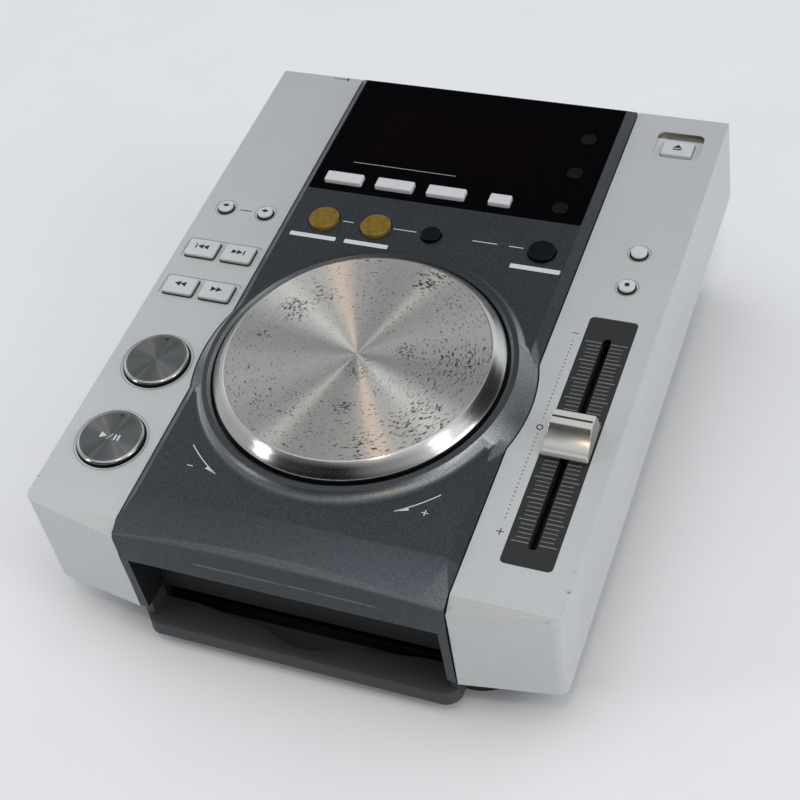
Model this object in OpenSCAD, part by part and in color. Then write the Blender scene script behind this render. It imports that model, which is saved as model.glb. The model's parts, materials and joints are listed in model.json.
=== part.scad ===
// Tabletop disc player for a DJ booth: slot loader, jog wheel, pitch fader and sloping deck.
//
// Three frames are used, all in millimetres:
//   part frame: X to the right, Y to the rear, Z up, origin on the table under the middle of the player
//   base frame: the part frame with Y counted from the front edge of the silver deck
//   deck frame: u = X, v up the sloping deck from its front edge, w along the deck's normal

/* [Body] */
// Width of the silver strip on each side of the centre panel
strip_w = 41; // [40:0.1:43]
// Slope of the deck, degrees
deck_tilt = 6.8; // [6.4:0.1:7.2]
// Height of the deck's front edge over the table
front_h = 72; // [71.5:0.1:74]
// Height of the silver side band
side_h = 50; // [48:0.5:51]
// Wall of the plastic covers and panels
wall = 2.4; // [2:0.1:2.8]
// How far the rear face leans out at its bottom
rear_lean = 7.6; // [6:0.2:9]
// Sweep of the covers' front faces in plan, degrees
front_sweep = 8.4; // [7:0.1:9]
// Backward lean of the covers' front faces, degrees
front_lean = 1.55; // [1:0.05:2]
// Slope of the facet over the covers' front faces, degrees
facet_a = 34.3; // [30:0.1:38]
// Radius of the covers' upright front corners
corner_r = 4.5; // [4:0.5:6]

/* [Centre panel] */
// Diameter of the disc that the player takes
disc_d = 120; // [119:0.5:121]
// Side play of the disc in the mouth
mouth_gap = 3.85; // [3.5:0.05:4.2]
// Thickness of the cheeks beside the mouth
cheek_t = 3.55; // [3.2:0.05:3.8]
// Height of the panel over the silver covers
panel_rise = 3.5; // [3:0.1:4]
// Width of the bevel along the panel's sides and rear
panel_bevel = 3.8; // [3.4:0.1:4.2]
// Depth of the panel's side skirts under the deck
skirt_h = 9; // [7:0.5:10]
// Where the brow starts to fall, from the deck's front edge
brow_v = 12.5; // [11.5:0.5:14]
// Overhang of the panel's nose in front of the deck's edge
nose = 7.5; // [7:0.1:8.5]
// Level of the mouth's upper edge under the deck
mouth_drop = 16.2; // [15.5:0.1:17]
// Overhang of the brow's crease at the middle and at its ends
crease_mid = 2.6; // [2:0.1:3.4]
crease_end = 5.75; // [5:0.05:6.2]
// Level of the brow's crease at the middle and at its ends
crease_mid_w = 2.2; // [1.6:0.1:2.6]
crease_end_w = -1.5; // [-2:0.1:-1]

/* [Display window] */
// Distance of the window behind the middle of the loop buttons
window_gap = 18.9; // [18.5:0.1:20]
// Length of the black window along the deck
window_len = 76.4; // [75:0.2:77]
// Thickness of the window
window_t = 1.2; // [1:0.1:1.3]
// Bare lip between the window and the panel's bevels
window_lip = 0.4; // [0.3:0.1:0.6]
// Height of the display glass
glass_h = 7.4; // [6.5:0.1:7.8]

/* [Jog wheel] */
// Distance of the wheel's axis from the deck's front edge
jog_v = 90; // [89:0.5:92]
// Radius of the flat face
jog_face_r = 54.4; // [53.5:0.1:55]
// Radius of the wheel's rim
jog_rim_r = 59.3; // [58.8:0.1:59.8]
// Height of the face over the silver deck
jog_top = 13.7; // [13:0.1:14.5]
// Level at which the bevel meets the upright rim
jog_rim_w = 8.6; // [8.2:0.1:9]
// Level of the rim's lower edge
jog_skirt_w = 4.4; // [3.6:0.1:5]
// Gap between the rim and the collar around it
jog_gap = 1.4; // [1:0.1:1.6]
// Radius of the collar's foot on the silver deck
collar_r = 70.8; // [70.4:0.1:71.2]
// Level of the collar's top
collar_top = 8.2; // [7.8:0.1:8.6]
// Radius of the jog shaft
shaft_r = 4; // [3.5:0.1:4.4]
// Outer radius of the brass bearing
bearing_r = 6; // [5.6:0.1:6.4]

/* [Controls] */
// Travel of the keys
key_press = 1.2; // [0.8:0.1:1.4]
// Radius of the cue and play buttons
cue_r = 14.1; // [13.5:0.1:14.4]
// Height of the cue and play buttons over the cover
cue_top = 2.2; // [1.8:0.1:3]
// Distance of the play button from the deck's front edge, and of the cue button behind it
play_v = 35.2; // [34:0.2:38]
cue_pitch = 42.8; // [41:0.2:44]
// Width, depth and height of the search keys
key_w = 14.2; // [13.5:0.1:15]
key_d = 10; // [9.5:0.1:10.6]
key_top = 2; // [1.6:0.1:2.4]
// Bar between two neighbouring search keys
key_bar = 3.3; // [3:0.1:3.8]
// Distance of the search keys behind the cue button, and of the track keys behind the search keys
search_pitch = 42.4; // [41:0.2:44]
track_pitch = 23.3; // [22.5:0.1:25]
// Radius and height of the small silver buttons
small_r = 3.4; // [3.2:0.1:3.8]
small_top = 1.4; // [1:0.1:1.8]
// Gap around the small silver buttons and width of the chamfer around their holes
small_gap = 0.6; // [0.5:0.05:0.7]
small_chamfer = 0.8; // [0.6:0.1:1]
// Half distance between the two folder buttons
folder_half = 9.8; // [9:0.1:10]
// Distance of the folder buttons behind the track keys
folder_pitch = 27.8; // [26:0.2:30]
// Distance of the master tempo button behind the fader plate, and of the tempo range button behind that
master_gap = 18.8; // [18:0.2:21]
range_pitch = 20; // [18:0.1:21]
// Size of the eject key and of the dish around it
eject_w = 13.6; // [13:0.1:14.5]
eject_d = 9.3; // [8.8:0.1:9.8]
dish_w = 20.8; // [20.2:0.1:22]
dish_d = 16.8; // [16:0.1:17.4]
// Distance of the dish's middle from the deck's rear edge
dish_rear = 19; // [18:0.2:20]
// Depth of the eject dish
dish_h = 1.4; // [1:0.1:1.5]
// Radius of the loop buttons, of the reloop button and of the beat button
loop_r = 6.8; // [6.2:0.1:7]
reloop_r = 4.4; // [4:0.1:4.8]
beat_r = 5.9; // [5.4:0.1:6.2]
// Height of the loop buttons over the panel
loop_top = 1.8; // [1.4:0.1:2.4]
// Distance of the loop buttons behind the jog wheel's rim
loop_gap = 20.6; // [20:0.1:22]
// Size and height of the keys in the window
effect_w = 17.6; // [17:0.1:18.4]
effect_d = 6.1; // [5.8:0.1:6.6]
effect_top = 2; // [1.6:0.1:2.4]
hold_w = 9.8; // [9.4:0.1:10.6]
// Distance of the effect keys from the window's front edge
effect_in = 7.7; // [7.2:0.1:8.2]
// Pitch between two effect keys
effect_pitch = 24.3; // [23.8:0.1:24.8]
// Radius and height of the mode buttons in the window
mode_r = 3.5; // [3.2:0.1:3.8]
mode_top = 0.5; // [0.3:0.1:0.9]
// Pitch between two mode buttons
mode_pitch = 22.8; // [22:0.1:23.2]

/* [Pitch fader] */
// Width and length of the black fader plate
fader_w = 19.8; // [19:0.1:20.2]
fader_len = 124.2; // [123.6:0.2:126]
// Distance of the fader plate from the deck's front edge
fader_front = 17.9; // [16:0.1:20]
// Thickness of the fader plate
fader_t = 1.2; // [1:0.1:1.3]
// Travel of the fader to each side
fader_travel = 50; // [48:0.5:50]
// Width of the slot in the fader plate
fader_slot = 3.2; // [2.8:0.1:3.6]
// Width of the fader's cap at its foot
cap_w = 18.8; // [18:0.1:19.2]
// Height of the cap's ridge over the deck
cap_top = 9; // [8:0.1:10]
// Length of the lever along the slot
lever_d = 4.4; // [4:0.1:4.8]

/* [Disc shelf and slot] */
// Thickness of the shelf's lip
lip_h = 7; // [6.5:0.1:7.4]
// Radius of the lip's corners
lip_r = 6.5; // [5:0.5:8]
// Height of the rims beside the shelf
rim_h = 7.6; // [7:0.1:8]
// Height of the disc slot
slot_h = 7.4; // [7:0.1:7.8]
// Radius of the finger scoop
scoop_r = 19.9; // [18:0.1:21]
// Wall of the slot's bezel
bezel_t = 2; // [1.8:0.1:2.2]

/* [Chassis] */
// Height of the rubber feet
foot_h = 8; // [7.8:0.1:8.2]
// Radius of the rubber feet
foot_r = 19.5; // [18:0.5:20.5]
// Half distance between the feet across the player
foot_x = 67; // [64:0.5:70]
// Thickness of the chassis floor and walls
tub_t = 1.8; // [1.6:0.1:2]
// Length of the audio sockets behind the rear panel
jack_len = 9; // [8:0.5:10]
// Radius of an audio socket's barrel
jack_r = 4.15; // [4.1:0.05:4.2]
// Radius of the audio socket's contact hole
jack_bore = 1.65; // [1.6:0.05:1.7]
// Radius of the mini socket's bore
mini_bore = 1.8; // [1.78:0.01:1.85]

/* [Loader] */
// Distance of a loaded disc's edge behind the roller
disc_back = 20; // [19:0.5:22]
// Radius of the loading roller's rubber
roller_r = 3.6; // [3.4:0.1:3.7]
// Radius of the roller's shaft
roller_shaft = 1.5; // [1.4:0.05:1.6]
// Module of the small gears
gear_m = 0.5; // [0.5:0.01:0.52]
// Travel of the pickup sled
sled_travel = 35; // [32:0.5:36]
// Radius of the guide rods and of the lead screw
rod_r = 1.5; // [1.4:0.05:1.6]
// Radius of the turntable
table_r = 13; // [12:0.5:14]
// Radius of the turntable's hub
hub_r = 7.3; // [7:0.05:7.4]
// Radius of the disc clamp
clamp_r = 12; // [11.5:0.5:13]

/* [Clearances] */
// Seam between the covers and the centre panel
seam = 0.6; // [0.4:0.05:0.8]
// Gap around a key in its hole
key_gap = 0.4; // [0.35:0.05:0.5]
// Gap between a moving part and what it passes
pass_gap = 0.4; // [0.35:0.05:0.5]
// Radial clearance of a running fit
run_gap = 0.05; // [0.03:0.01:0.08]

/* [Hidden] */
$fn = 64;
far = 400; // reach of the blocks that cut something off

// Lengths and widths that the pieces add up to
mouth_w = disc_d + 2 * mouth_gap;
panel_w = mouth_w + 2 * cheek_t;
body_w = panel_w + 2 * (seam + strip_w);
loop_v = jog_v + jog_rim_r + loop_gap;
window_v0 = loop_v + window_gap;
window_v1 = window_v0 + window_len;
deck_len = window_v1 + window_lip + panel_bevel;

// Places in the base frame of a point in the deck frame
function base_y(v, w) = v * cos(deck_tilt) - w * sin(deck_tilt);
function base_z(v, w) = front_h + v * sin(deck_tilt) + w * cos(deck_tilt);

// Overall reach, which puts the origin under the middle of the player
front_y = min(base_y(-nose, -mouth_drop), base_y(-crease_end, crease_end_w));
rear_panel_y = base_y(deck_len + rear_lean, -side_h) - 3;
rear_y = rear_panel_y + jack_len;
deck_y = -(front_y + rear_y) / 2;

// Cover and panel edges
cover_in = panel_w / 2 + seam;
strip_u = (body_w / 2 + cover_in) / 2;
left_u = -strip_u + 0.8;
right_u = strip_u + 2.1;
panel_u = panel_w / 2;
ear_len = 5.4;
ear_t = 2;
ear_w = 10;
ear_places = [8, jog_v - 36, window_v0 - 2.8, deck_len - 37];
boss_r = 3.5;
boss_u = body_w / 2 - wall - boss_r - 0.4;

// Levels of the boards and switches in the deck frame
board_t = 1.6;
switch_a = 6;
switch_h = 3.5;
stem_r = 1.7;
stem_h = 1;
flange_t = 1.2;
flange_w = 1.2;
side_board_w = -11;
display_board_w = -9;
centre_board_w = -16;

// Window
window_u = panel_u - panel_bevel - window_lip;
glass_box = [-52, window_v0 + 18.6, 38, window_v1 - 9];

// Keys
key_u = (key_w + key_bar) / 2;
cue_v = play_v + cue_pitch;
search_v = cue_v + search_pitch;
track_v = search_v + track_pitch;
folder_v = track_v + folder_pitch;
fader_v = fader_front + fader_len / 2;
master_v = fader_front + fader_len + master_gap;
range_v = master_v + range_pitch;
boss_places = [9, track_v + 13.3, deck_len - 7.4];
dish_v = deck_len - dish_rear;
eject_v = dish_v - 1.7;
loop_in_u = -47.8;
loop_out_u = -23.4;
reloop_u = 2.3;
beat_u = 51.9;
led_u = 34.2;
led_r = 1.4;
effect_v = window_v0 + effect_in;
effect_u = -2 * effect_pitch + 0.2;
hold_u = 25;
mode_u = 51.8;
mode_v = effect_v + 0.9;

// Fader
fader_shift = -1.25;
fader_floor = 1;
fader_ledge = 1.6;
slot_half = fader_travel + lever_d / 2 + 0.5;
fader_body_w = 12;
fader_body_h = 9;
fader_hollow_h = 6;
fader_body_top = -wall - 1.6;
cap_foot = 1;
cap_front = -10.7;
cap_rear = 7.6;
cap_ridge = [-0.6, 6];
cap_lip = 3.5;
pointer_shift = 2.55;
lever_t = 1.2;
lever_in_cap = 5;

// Jog wheel
jog_well_w = -2;
collar_in = jog_rim_r + jog_gap;
well_r = collar_in + wall;
hub_outer = bearing_r + 2.5;
boss_outer = bearing_r + 3;
bearing_top = 5;
bearing_flange = 1.2;
bearing_low = -9;
encoder_r = 15;
encoder_w = -12.1;
encoder_t = 0.6;
encoder_n = 24;
shaft_low = -13;
platter_t = 2.6;
shaft_in = 1.8;
encoder_slot = [2, 1.2];

// Shelf and slot in the base frame
shelf_z = foot_h;
shelf_top = shelf_z + lip_h;
rim_top = shelf_top + rim_h;
shelf_y0 = front_y + 2.4;
slot_top = shelf_top + slot_h;
bezel_y = 11.2;
tub_y0 = bezel_y + bezel_t + 0.4;
rim_back = 4;
scoop_reach = 1.6;
scoop_floor = 1.6;

// Loader in the base frame
floor_top = foot_h + tub_t;
frame_z = floor_top + 1.2;
frame_t = 1.2;
frame_x = disc_d / 2 + 10;
frame_y0 = 17;
plate_y0 = 30;
frame_top = 31;
disc_z = 18.4;
disc_t = 1.2;
roller_y = 24;
spindle_y = roller_y + disc_back + disc_d / 2;
roller_z = disc_z - roller_r - 0.2;
roller_half = disc_d / 2;
gear_n = 16;
pinion_n = 10;
gear_w = 3;
mesh_a = 50;
mesh_gap = 0.2;
mesh_d = gear_m * (gear_n + pinion_n) / 2 + mesh_gap;
pinion_y = roller_y + mesh_d * cos(mesh_a);
pinion_z = roller_z + mesh_d * sin(mesh_a);
gear_x = frame_x + 1;
loader_motor_r = 6.4;
loader_motor_gap = 2.2;
loader_motor_x = gear_x + gear_w + loader_motor_gap;
loader_motor_len = 14;
loader_motor_end = 1.6;
pinion_shaft = 0.75;
pinion_shaft_in = 3;
hinge_z = 26.4;
hinge_pin = 1.5;
arm_half = 10;
arm_z = 24;
arm_t = 1.2;
hinge_ear_x = arm_half + 2;
hinge_ear_t = 2;
clamp_z = disc_z + disc_t + 0.3;
clamp_stem = 3;
table_shaft = 1;
rod_x = 24;
rod_z = frame_z + frame_t + 2.2;
screw_x = 31;
sled_half = 19;
sled_len = 23;
sled_y = spindle_y + 15;
rod_y0 = spindle_y + 9;
rod_y1 = sled_y + sled_len + sled_travel + 10;
frame_y1 = rod_y1 + 2;
hinge_y = frame_y1 - 10;
sled_motor_r = 4.2;
sled_motor_len = 16;
sled_motor_y = rod_y1 + 2;

// Chassis in the base frame
tub_in = loader_motor_x + loader_motor_len + loader_motor_end + 1.4;
tub_w = 2 * (tub_in + tub_t);
flange_w0 = -side_h + 0.4;
flange_w1 = flange_w0 + 2;
flange_u = body_w / 2 - wall - 0.4;
flange_v0 = 4.6;
flange_v1 = deck_len + rear_lean - wall - 0.6;
vent_n = 10;
vent_x = 36;
vent_y = spindle_y + 14;
vent_len = 36;
vent_w = 3;
vent_pitch = 7;
foot_front_y = 31;
foot_rear_y = rear_panel_y - 34;
rear_t = 1.2;
rear_top = base_z(deck_len + rear_lean, flange_w0) - 3;

// Sockets and switch on the rear panel
switch_x = -tub_in + 17.6;
switch_z = 34;
switch_w = 13;
switch_hgt = 19;
inlet_x = switch_x + 29.6;
inlet_z = 32;
inlet_w = 22;
inlet_hgt = 12;
jack_pitch = 14;
mini_x = tub_in - 9.2;
jack_x = [for (i = [2:-1:0]) mini_x - 16 - i * jack_pitch];
jack_z = 34;
jack_shoulder = 0.9;
mini_r = 3.9;
mini_out = 1.5;
socket_gap = 0.15;

// Points of an arc, and outlines made of them
function arc(cx, cy, r, a0, a1, n = 6) =
    [for (i = [0:n]) let (a = a0 + (a1 - a0) * i / n) [cx + r * cos(a), cy + r * sin(a)]];
function round_rect(w, d, r) = concat(
    arc(w / 2 - r, d / 2 - r, r, 0, 90), arc(-w / 2 + r, d / 2 - r, r, 90, 180),
    arc(-w / 2 + r, -d / 2 + r, r, 180, 270), arc(w / 2 - r, -d / 2 + r, r, 270, 360));

module base() { translate([0, deck_y, 0]) children(); }
module deck() { translate([0, deck_y, front_h]) rotate([deck_tilt, 0, 0]) children(); }

// A prism along X of an outline drawn in (v, w) or (y, z)
module along_x(x0, x1) { translate([x0, 0, 0]) rotate([90, 0, 90]) linear_extrude(x1 - x0) children(); }

// A prism along Y of an outline drawn in (u, w) or (x, z)
module along_y(y0, y1) { translate([0, y1, 0]) rotate([90, 0, 0]) linear_extrude(y1 - y0) children(); }

// A block between two corners
module block(a, b) { translate(a) cube(b - a); }

module tube(r_out, r_in, h) {
    difference() {
        cylinder(r = r_out, h = h);
        translate([0, 0, -1]) cylinder(r = r_in, h = h + 2);
    }
}

// ---------------------------------------------------------------- silver covers

// Side outline of a cover, drawn inwards by t
function cover_side(t) = let (low = -side_h - (t > 0 ? 1 : 0), nib = -20) [
    [t * (1 / cos(facet_a) - 1) / tan(facet_a), -t], [deck_len - t, -t],
    [deck_len + rear_lean - t, low], [nib, low], [nib, nib * tan(facet_a) - t / cos(facet_a)]];

// Plan outline of the right cover, drawn inwards by t and open at the inner side
function cover_plan(t, u0) = let (
        r = max(0.4, corner_r - t),
        cu = body_w / 2 - corner_r,
        cv = corner_r / cos(front_sweep) - corner_r * tan(front_sweep)) concat(
    [[u0, far], [body_w / 2 - t, far]], arc(cu, cv, r, 0, -90 + front_sweep),
    [[u0, (u0 - body_w / 2) * tan(front_sweep) + t / cos(front_sweep)]]);

module cover_solid(t, u0) {
    intersection() {
        along_x(u0, body_w / 2 - t) polygon(cover_side(t));
        rotate([-front_lean, 0, 0]) translate([0, 0, -side_h - 20]) linear_extrude(side_h + 60)
            polygon(cover_plan(t, u0));
    }
}

// The bare right-hand shell with its screw posts
module cover_shell() {
    difference() {
        union() {
            difference() {
                cover_solid(0, cover_in);
                cover_solid(wall, cover_in - 1);
            }
            for (v = boss_places) translate([boss_u, v, flange_w1])
                cylinder(r = boss_r, h = -flange_w1 - wall / 2);
        }
        translate([0, jog_v, -far / 2]) cylinder(r = collar_r + seam, h = far);
        for (v = boss_places) translate([boss_u, v, flange_w1 - 1]) cylinder(r = 1.5, h = 12);
    }
}

// Holes and board posts
module round_hole(u, v, r) { translate([u, v, -far / 2]) cylinder(r = r + key_gap, h = far); }
module small_hole(u, v) {
    round_hole(u, v, small_r + small_gap - key_gap);
    translate([u, v, -small_chamfer / 2])
        cylinder(r1 = small_r + small_gap, r2 = small_r + small_gap + 2 * small_chamfer, h = small_chamfer);
}
module key_hole(u, v, w, d, r) {
    translate([u, v, -far / 2]) linear_extrude(far) polygon(round_rect(w + 2 * key_gap, d + 2 * key_gap, r));
}
module post(u, v, top, low) { translate([u, v, low]) cylinder(r = 2.2, h = top - low); }

module cover_left() {
    color("silver") deck() {
        difference() {
            mirror([1, 0, 0]) cover_shell();
            round_hole(left_u, cue_v, cue_r);
            round_hole(left_u, play_v, cue_r);
            for (s = [-1, 1], v = [track_v, search_v]) key_hole(left_u + s * key_u, v, key_w, key_d, 1.4);
            for (s = [-1, 1]) small_hole(left_u + s * folder_half, folder_v);
        }
        for (p = left_posts) post(p[0], p[1], -wall, side_board_w);
    }
}

module cover_right() {
    color("silver") deck() {
        difference() {
            cover_shell();
            small_hole(right_u, range_v);
            small_hole(right_u, master_v);
            key_hole(right_u, eject_v, eject_w, eject_d, 1.4);
            translate([right_u, dish_v, -dish_h]) linear_extrude(far) polygon(round_rect(dish_w, dish_d, 3));
            translate([right_u, fader_v, -fader_t - 0.2]) linear_extrude(far)
                polygon(round_rect(fader_w + 0.2, fader_len + 0.2, 2));
            translate([right_u, fader_v, -far / 2]) linear_extrude(far)
                polygon(round_rect(fader_w - 2 * fader_ledge, fader_len - 2 * fader_ledge, 1));
        }
        for (p = right_posts) post(p[0], p[1], -wall, side_board_w);
        for (v = fader_ends) block([right_u - 4, v - 2.5, fader_body_top], [right_u + 4, v + 2.5, -wall / 2]);
    }
}
left_posts = [[left_u - 13, cue_v + 22], [left_u + 12, cue_v - 18], [left_u + 12, track_v + 16.3]];
right_posts = [[right_u - 12, master_v + 10.3], [right_u + 7, master_v + 10.3],
    [right_u - 12, deck_len - 37]];
fader_ends = [fader_v - fader_len / 2 - 3, fader_v + fader_len / 2 + 3];

// ---------------------------------------------------------------- centre panel

// Cross-section of the raised panel and its bevels, drawn inwards by t
function panel_section(t) = [
    [-panel_u + t, -far / 2], [-panel_u + t, -t / 2], [-panel_u + panel_bevel + t / 2, panel_rise - t],
    [panel_u - panel_bevel - t / 2, panel_rise - t], [panel_u - t, -t / 2], [panel_u - t, -far / 2]];

// Side outline of the panel's plate and rear wall
panel_side = [[brow_v, -mouth_drop], [brow_v, panel_rise], [deck_len - panel_bevel, panel_rise],
    [deck_len, 0], [deck_len + rear_lean, -side_h], [brow_v, -side_h]];
panel_hollow = [[-nose + wall + 0.6, -far / 2], [-nose + wall + 0.6, -12], [1, -0.6],
    [brow_v + 2, panel_rise - wall], [deck_len - panel_bevel, panel_rise - wall],
    [deck_len - wall, -wall], [deck_len + rear_lean - wall, -side_h - 1], [deck_len, -far / 2]];

// The brow and the front face: a ruled solid whose crease is crowned
brow_n = 12;
function crease_v(x) = -crease_mid - (crease_end - crease_mid) * x * x;
function crease_w(x) = crease_mid_w + (crease_end_w - crease_mid_w) * x * x;
module brow_solid() {
    points = [for (i = [0:brow_n]) let (x = 2 * i / brow_n - 1, u = x * panel_u) each [
        [u, brow_v + 1, -mouth_drop], [u, brow_v + 1, panel_rise], [u, brow_v, panel_rise],
        [u, crease_v(x), crease_w(x)], [u, -nose, -mouth_drop]]];
    sides = [for (i = [0:brow_n - 1], j = [0:4]) let (
        a = 5 * i + j, b = 5 * i + (j + 1) % 5) each [[a, a + 5, b], [b, a + 5, b + 5]]];
    last = 5 * brow_n;
    polyhedron(points, concat(sides, [[0, 1, 2, 3, 4], [last + 4, last + 3, last + 2, last + 1, last]]));
}

// Outline of the collar, of the well that the wheel turns in and of the bearing's seat
collar_outline = [[collar_r, -1], [collar_r, 0], [collar_r - 3, panel_rise],
    [collar_in + 3.3, collar_top - 0.1], [collar_in + 1.2, collar_top + 0.1],
    [collar_in, collar_top - 0.9], [collar_in, jog_well_w],
    [boss_outer, jog_well_w], [boss_outer, bearing_top], [bearing_r, bearing_top],
    [bearing_r, bearing_low], [boss_outer, bearing_low], [boss_outer, jog_well_w - wall],
    [well_r, jog_well_w - wall], [well_r, collar_top - 2.8], [collar_r - 4.8, panel_rise - 1.7],
    [collar_r - 2.5, -1]];

module centre_panel() {
    color("slategray") difference() {
        deck() difference() {
            union() {
                difference() {
                    intersection() {
                        along_y(-20, deck_len + 20) polygon(panel_section(0));
                        union() {
                            along_x(-panel_u, panel_u) polygon(panel_side);
                            brow_solid();
                        }
                    }
                    intersection() {
                        along_y(-20, deck_len + 20) polygon(panel_section(wall));
                        along_x(-panel_u, panel_u) polygon(panel_hollow);
                    }
                    block([-far / 2, brow_v, -far / 2], [far / 2, deck_len - 8, -skirt_h]);
                    block([-far / 2, deck_len - 9, -far / 2], [far / 2, far, flange_w1 + 0.4]);
                    translate([0, jog_v, -far / 2]) cylinder(r = collar_r - 4, h = far);
                }
                for (s = [-1, 1]) {
                    along_x(min(s * panel_u, s * mouth_w / 2), max(s * panel_u, s * mouth_w / 2))
                        polygon([[-nose, -side_h], [-nose, -mouth_drop], [0.6 - nose, 1 - mouth_drop],
                            [6, 1 - mouth_drop], [6, -side_h]]);
                    for (v = ear_places)
                        translate([s * (panel_u + (ear_len - wall) / 2), v, -wall - ear_t / 2])
                            cube([ear_len + wall, ear_w, ear_t], center = true);
                }
                translate([0, jog_v, 0]) rotate_extrude($fn = 128) polygon(collar_outline);
                for (p = display_posts) post(p[0], p[1], panel_rise - wall / 2, display_board_w);
                for (p = rear_posts) post(p[0], p[1], panel_rise - wall / 2, centre_board_w);
                for (p = front_posts) post(p[0], p[1], jog_well_w - wall / 2, centre_board_w);
            }
            translate([0, (window_v0 + window_v1) / 2, panel_rise - window_t]) linear_extrude(far)
                polygon(round_rect(2 * window_u + 0.2, window_len + 0.2, 1));
            block([glass_box[0] - 1, glass_box[1] - 1, -5], [glass_box[2] + 1, glass_box[3] + 1, far]);
            window_holes();
            round_hole(loop_in_u, loop_v, loop_r);
            round_hole(loop_out_u, loop_v, loop_r);
            round_hole(reloop_u, loop_v, reloop_r);
            round_hole(beat_u, loop_v, beat_r);
            translate([led_u, loop_v, -5]) cylinder(r = led_r, h = far);
        }
        base() block([-far / 2, -far / 2, -1], [far / 2, tub_y0 + 20, rim_top]);
    }
}
display_posts = [for (s = [-1, 1], v = [window_v0 + 18, window_v1 - 7]) [s * 61, v]];
rear_posts = [for (s = [-1, 1]) [s * 55, loop_v + 11]];
front_posts = [for (s = [-1, 1]) [s * 50, jog_v - 20]];

// Holes for the keys in the window
module window_holes() {
    for (i = [0:2]) key_hole(effect_u + i * effect_pitch, effect_v, effect_w, effect_d, 0.8);
    key_hole(hold_u, effect_v, hold_w, effect_d, 0.8);
    for (i = [0:2]) round_hole(mode_u, mode_v + i * mode_pitch, mode_r);
}

module display_window() {
    color([0.03, 0.03, 0.035]) deck() difference() {
        translate([0, (window_v0 + window_v1) / 2, panel_rise - window_t]) linear_extrude(window_t)
            polygon(round_rect(2 * window_u, window_len, 1));
        window_holes();
    }
}

// ---------------------------------------------------------------- shelf, slot and chassis

module disc_shelf() {
    plan = concat([[-panel_u, tub_y0], [-panel_u, shelf_y0 + lip_r]],
        arc(-panel_u + lip_r, shelf_y0 + lip_r, lip_r, 180, 270),
        arc(panel_u - lip_r, shelf_y0 + lip_r, lip_r, 270, 360), [[panel_u, tub_y0]]);
    color([0.08, 0.08, 0.09]) base() {
        difference() {
            translate([0, 0, shelf_z]) linear_extrude(lip_h) polygon(plan);
            translate([0, scoop_reach + scoop_r, shelf_z + scoop_floor])
                cylinder(r = scoop_r, h = lip_h, $fn = 96);
        }
        for (s = [-1, 1]) block(
            [min(s * panel_u, s * mouth_w / 2), shelf_y0 + rim_back, shelf_top - 1],
            [max(s * panel_u, s * mouth_w / 2), tub_y0, rim_top]);
    }
}

module slot_bezel() {
    top = base_z(3, -mouth_drop);
    side = mouth_w / 2 - 0.1;
    color([0.12, 0.12, 0.13]) base() {
        block([-side, bezel_y, slot_top], [side, bezel_y + bezel_t, top]);
        for (s = [-1, 1]) translate([s * (side - 0.8), bezel_y + bezel_t / 2, (shelf_top + top) / 2])
            cube([1.6, bezel_t, top - shelf_top], center = true);
        // Felt edge over the slot
        block([-side + 1, bezel_y + 0.5, slot_top - 0.8], [side - 1, bezel_y + 1.5, slot_top + 1]);
    }
}

// Places of the standoffs on the chassis floor
frame_feet = [for (s = [-1, 1], y = [plate_y0 + 6, frame_y1 - 6]) [s * (frame_x - 10), y]];
main_box = [2, sled_motor_y + sled_motor_len + 7, tub_in - 5.2, rear_panel_y - 12];
supply_box = [-tub_in + 3.2, frame_y1 + 9, -12, rear_panel_y - 12];
function corners(b) = [for (x = [b[0] + 5, b[2] - 5], y = [b[1] + 5, b[3] - 5]) [x, y]];
rear_board_z = 14;

module bottom_chassis() {
    color([0.1, 0.1, 0.11]) {
        base() difference() {
            block([-tub_w / 2, tub_y0, foot_h], [tub_w / 2, rear_panel_y, front_h + 40]);
            block([-tub_in, tub_y0 + tub_t, floor_top], [tub_in, far, far]);
            block([-panel_u - 0.4, 0, shelf_top - 0.2], [panel_u + 0.4, far, far]);
            translate([0, -deck_y, 0]) deck() block([-far, -far, flange_w1], [far, far, far]);
            for (s = [-1, 1], i = [0:vent_n - 1])
                translate([s * vent_x - vent_len / 2, vent_y + vent_pitch * i, 0])
                    cube([vent_len, vent_w, far]);
            for (p = foot_places) translate([p[0], p[1], 0]) cylinder(r = 2, h = far);
        }
        deck() difference() {
            block([-flange_u, flange_v0, flange_w0], [flange_u, flange_v1, flange_w1]);
            block([-tub_in, -far, -far], [tub_in, far, far]);
            for (s = [-1, 1], v = boss_places) translate([s * boss_u, v, -far]) cylinder(r = 1.7, h = far);
        }
        deck() for (s = [-1, 1]) difference() {
            block([s > 0 ? panel_u + 1 : -tub_in - 0.1, flange_v0, flange_w0],
                [s > 0 ? tub_in + 0.1 : -panel_u - 1, flange_v0 + 6, flange_w1]);
        }
        base() {
            for (p = frame_feet) translate([p[0], p[1], floor_top]) cylinder(r = 3, h = frame_z - floor_top);
            for (b = [main_box, supply_box], p = corners(b)) translate([p[0], p[1], floor_top])
                cylinder(r = 2.5, h = rear_board_z - floor_top);
        }
    }
}
foot_places = [for (s = [-1, 1], y = [foot_front_y, foot_rear_y]) [s * foot_x, y]];

module rubber_feet() {
    color([0.05, 0.05, 0.05]) base() for (p = foot_places) translate([p[0], p[1], 0]) {
        rotate_extrude() polygon([[0, 0.8], [foot_r - 5, 0.8], [foot_r - 5.5, 0], [foot_r - 1.2, 0],
            [foot_r, 1.2], [foot_r, foot_h], [0, foot_h]]);
        translate([0, 0, foot_h - 0.5]) cylinder(r = 1.9, h = 0.5 + tub_t);
    }
}

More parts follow.
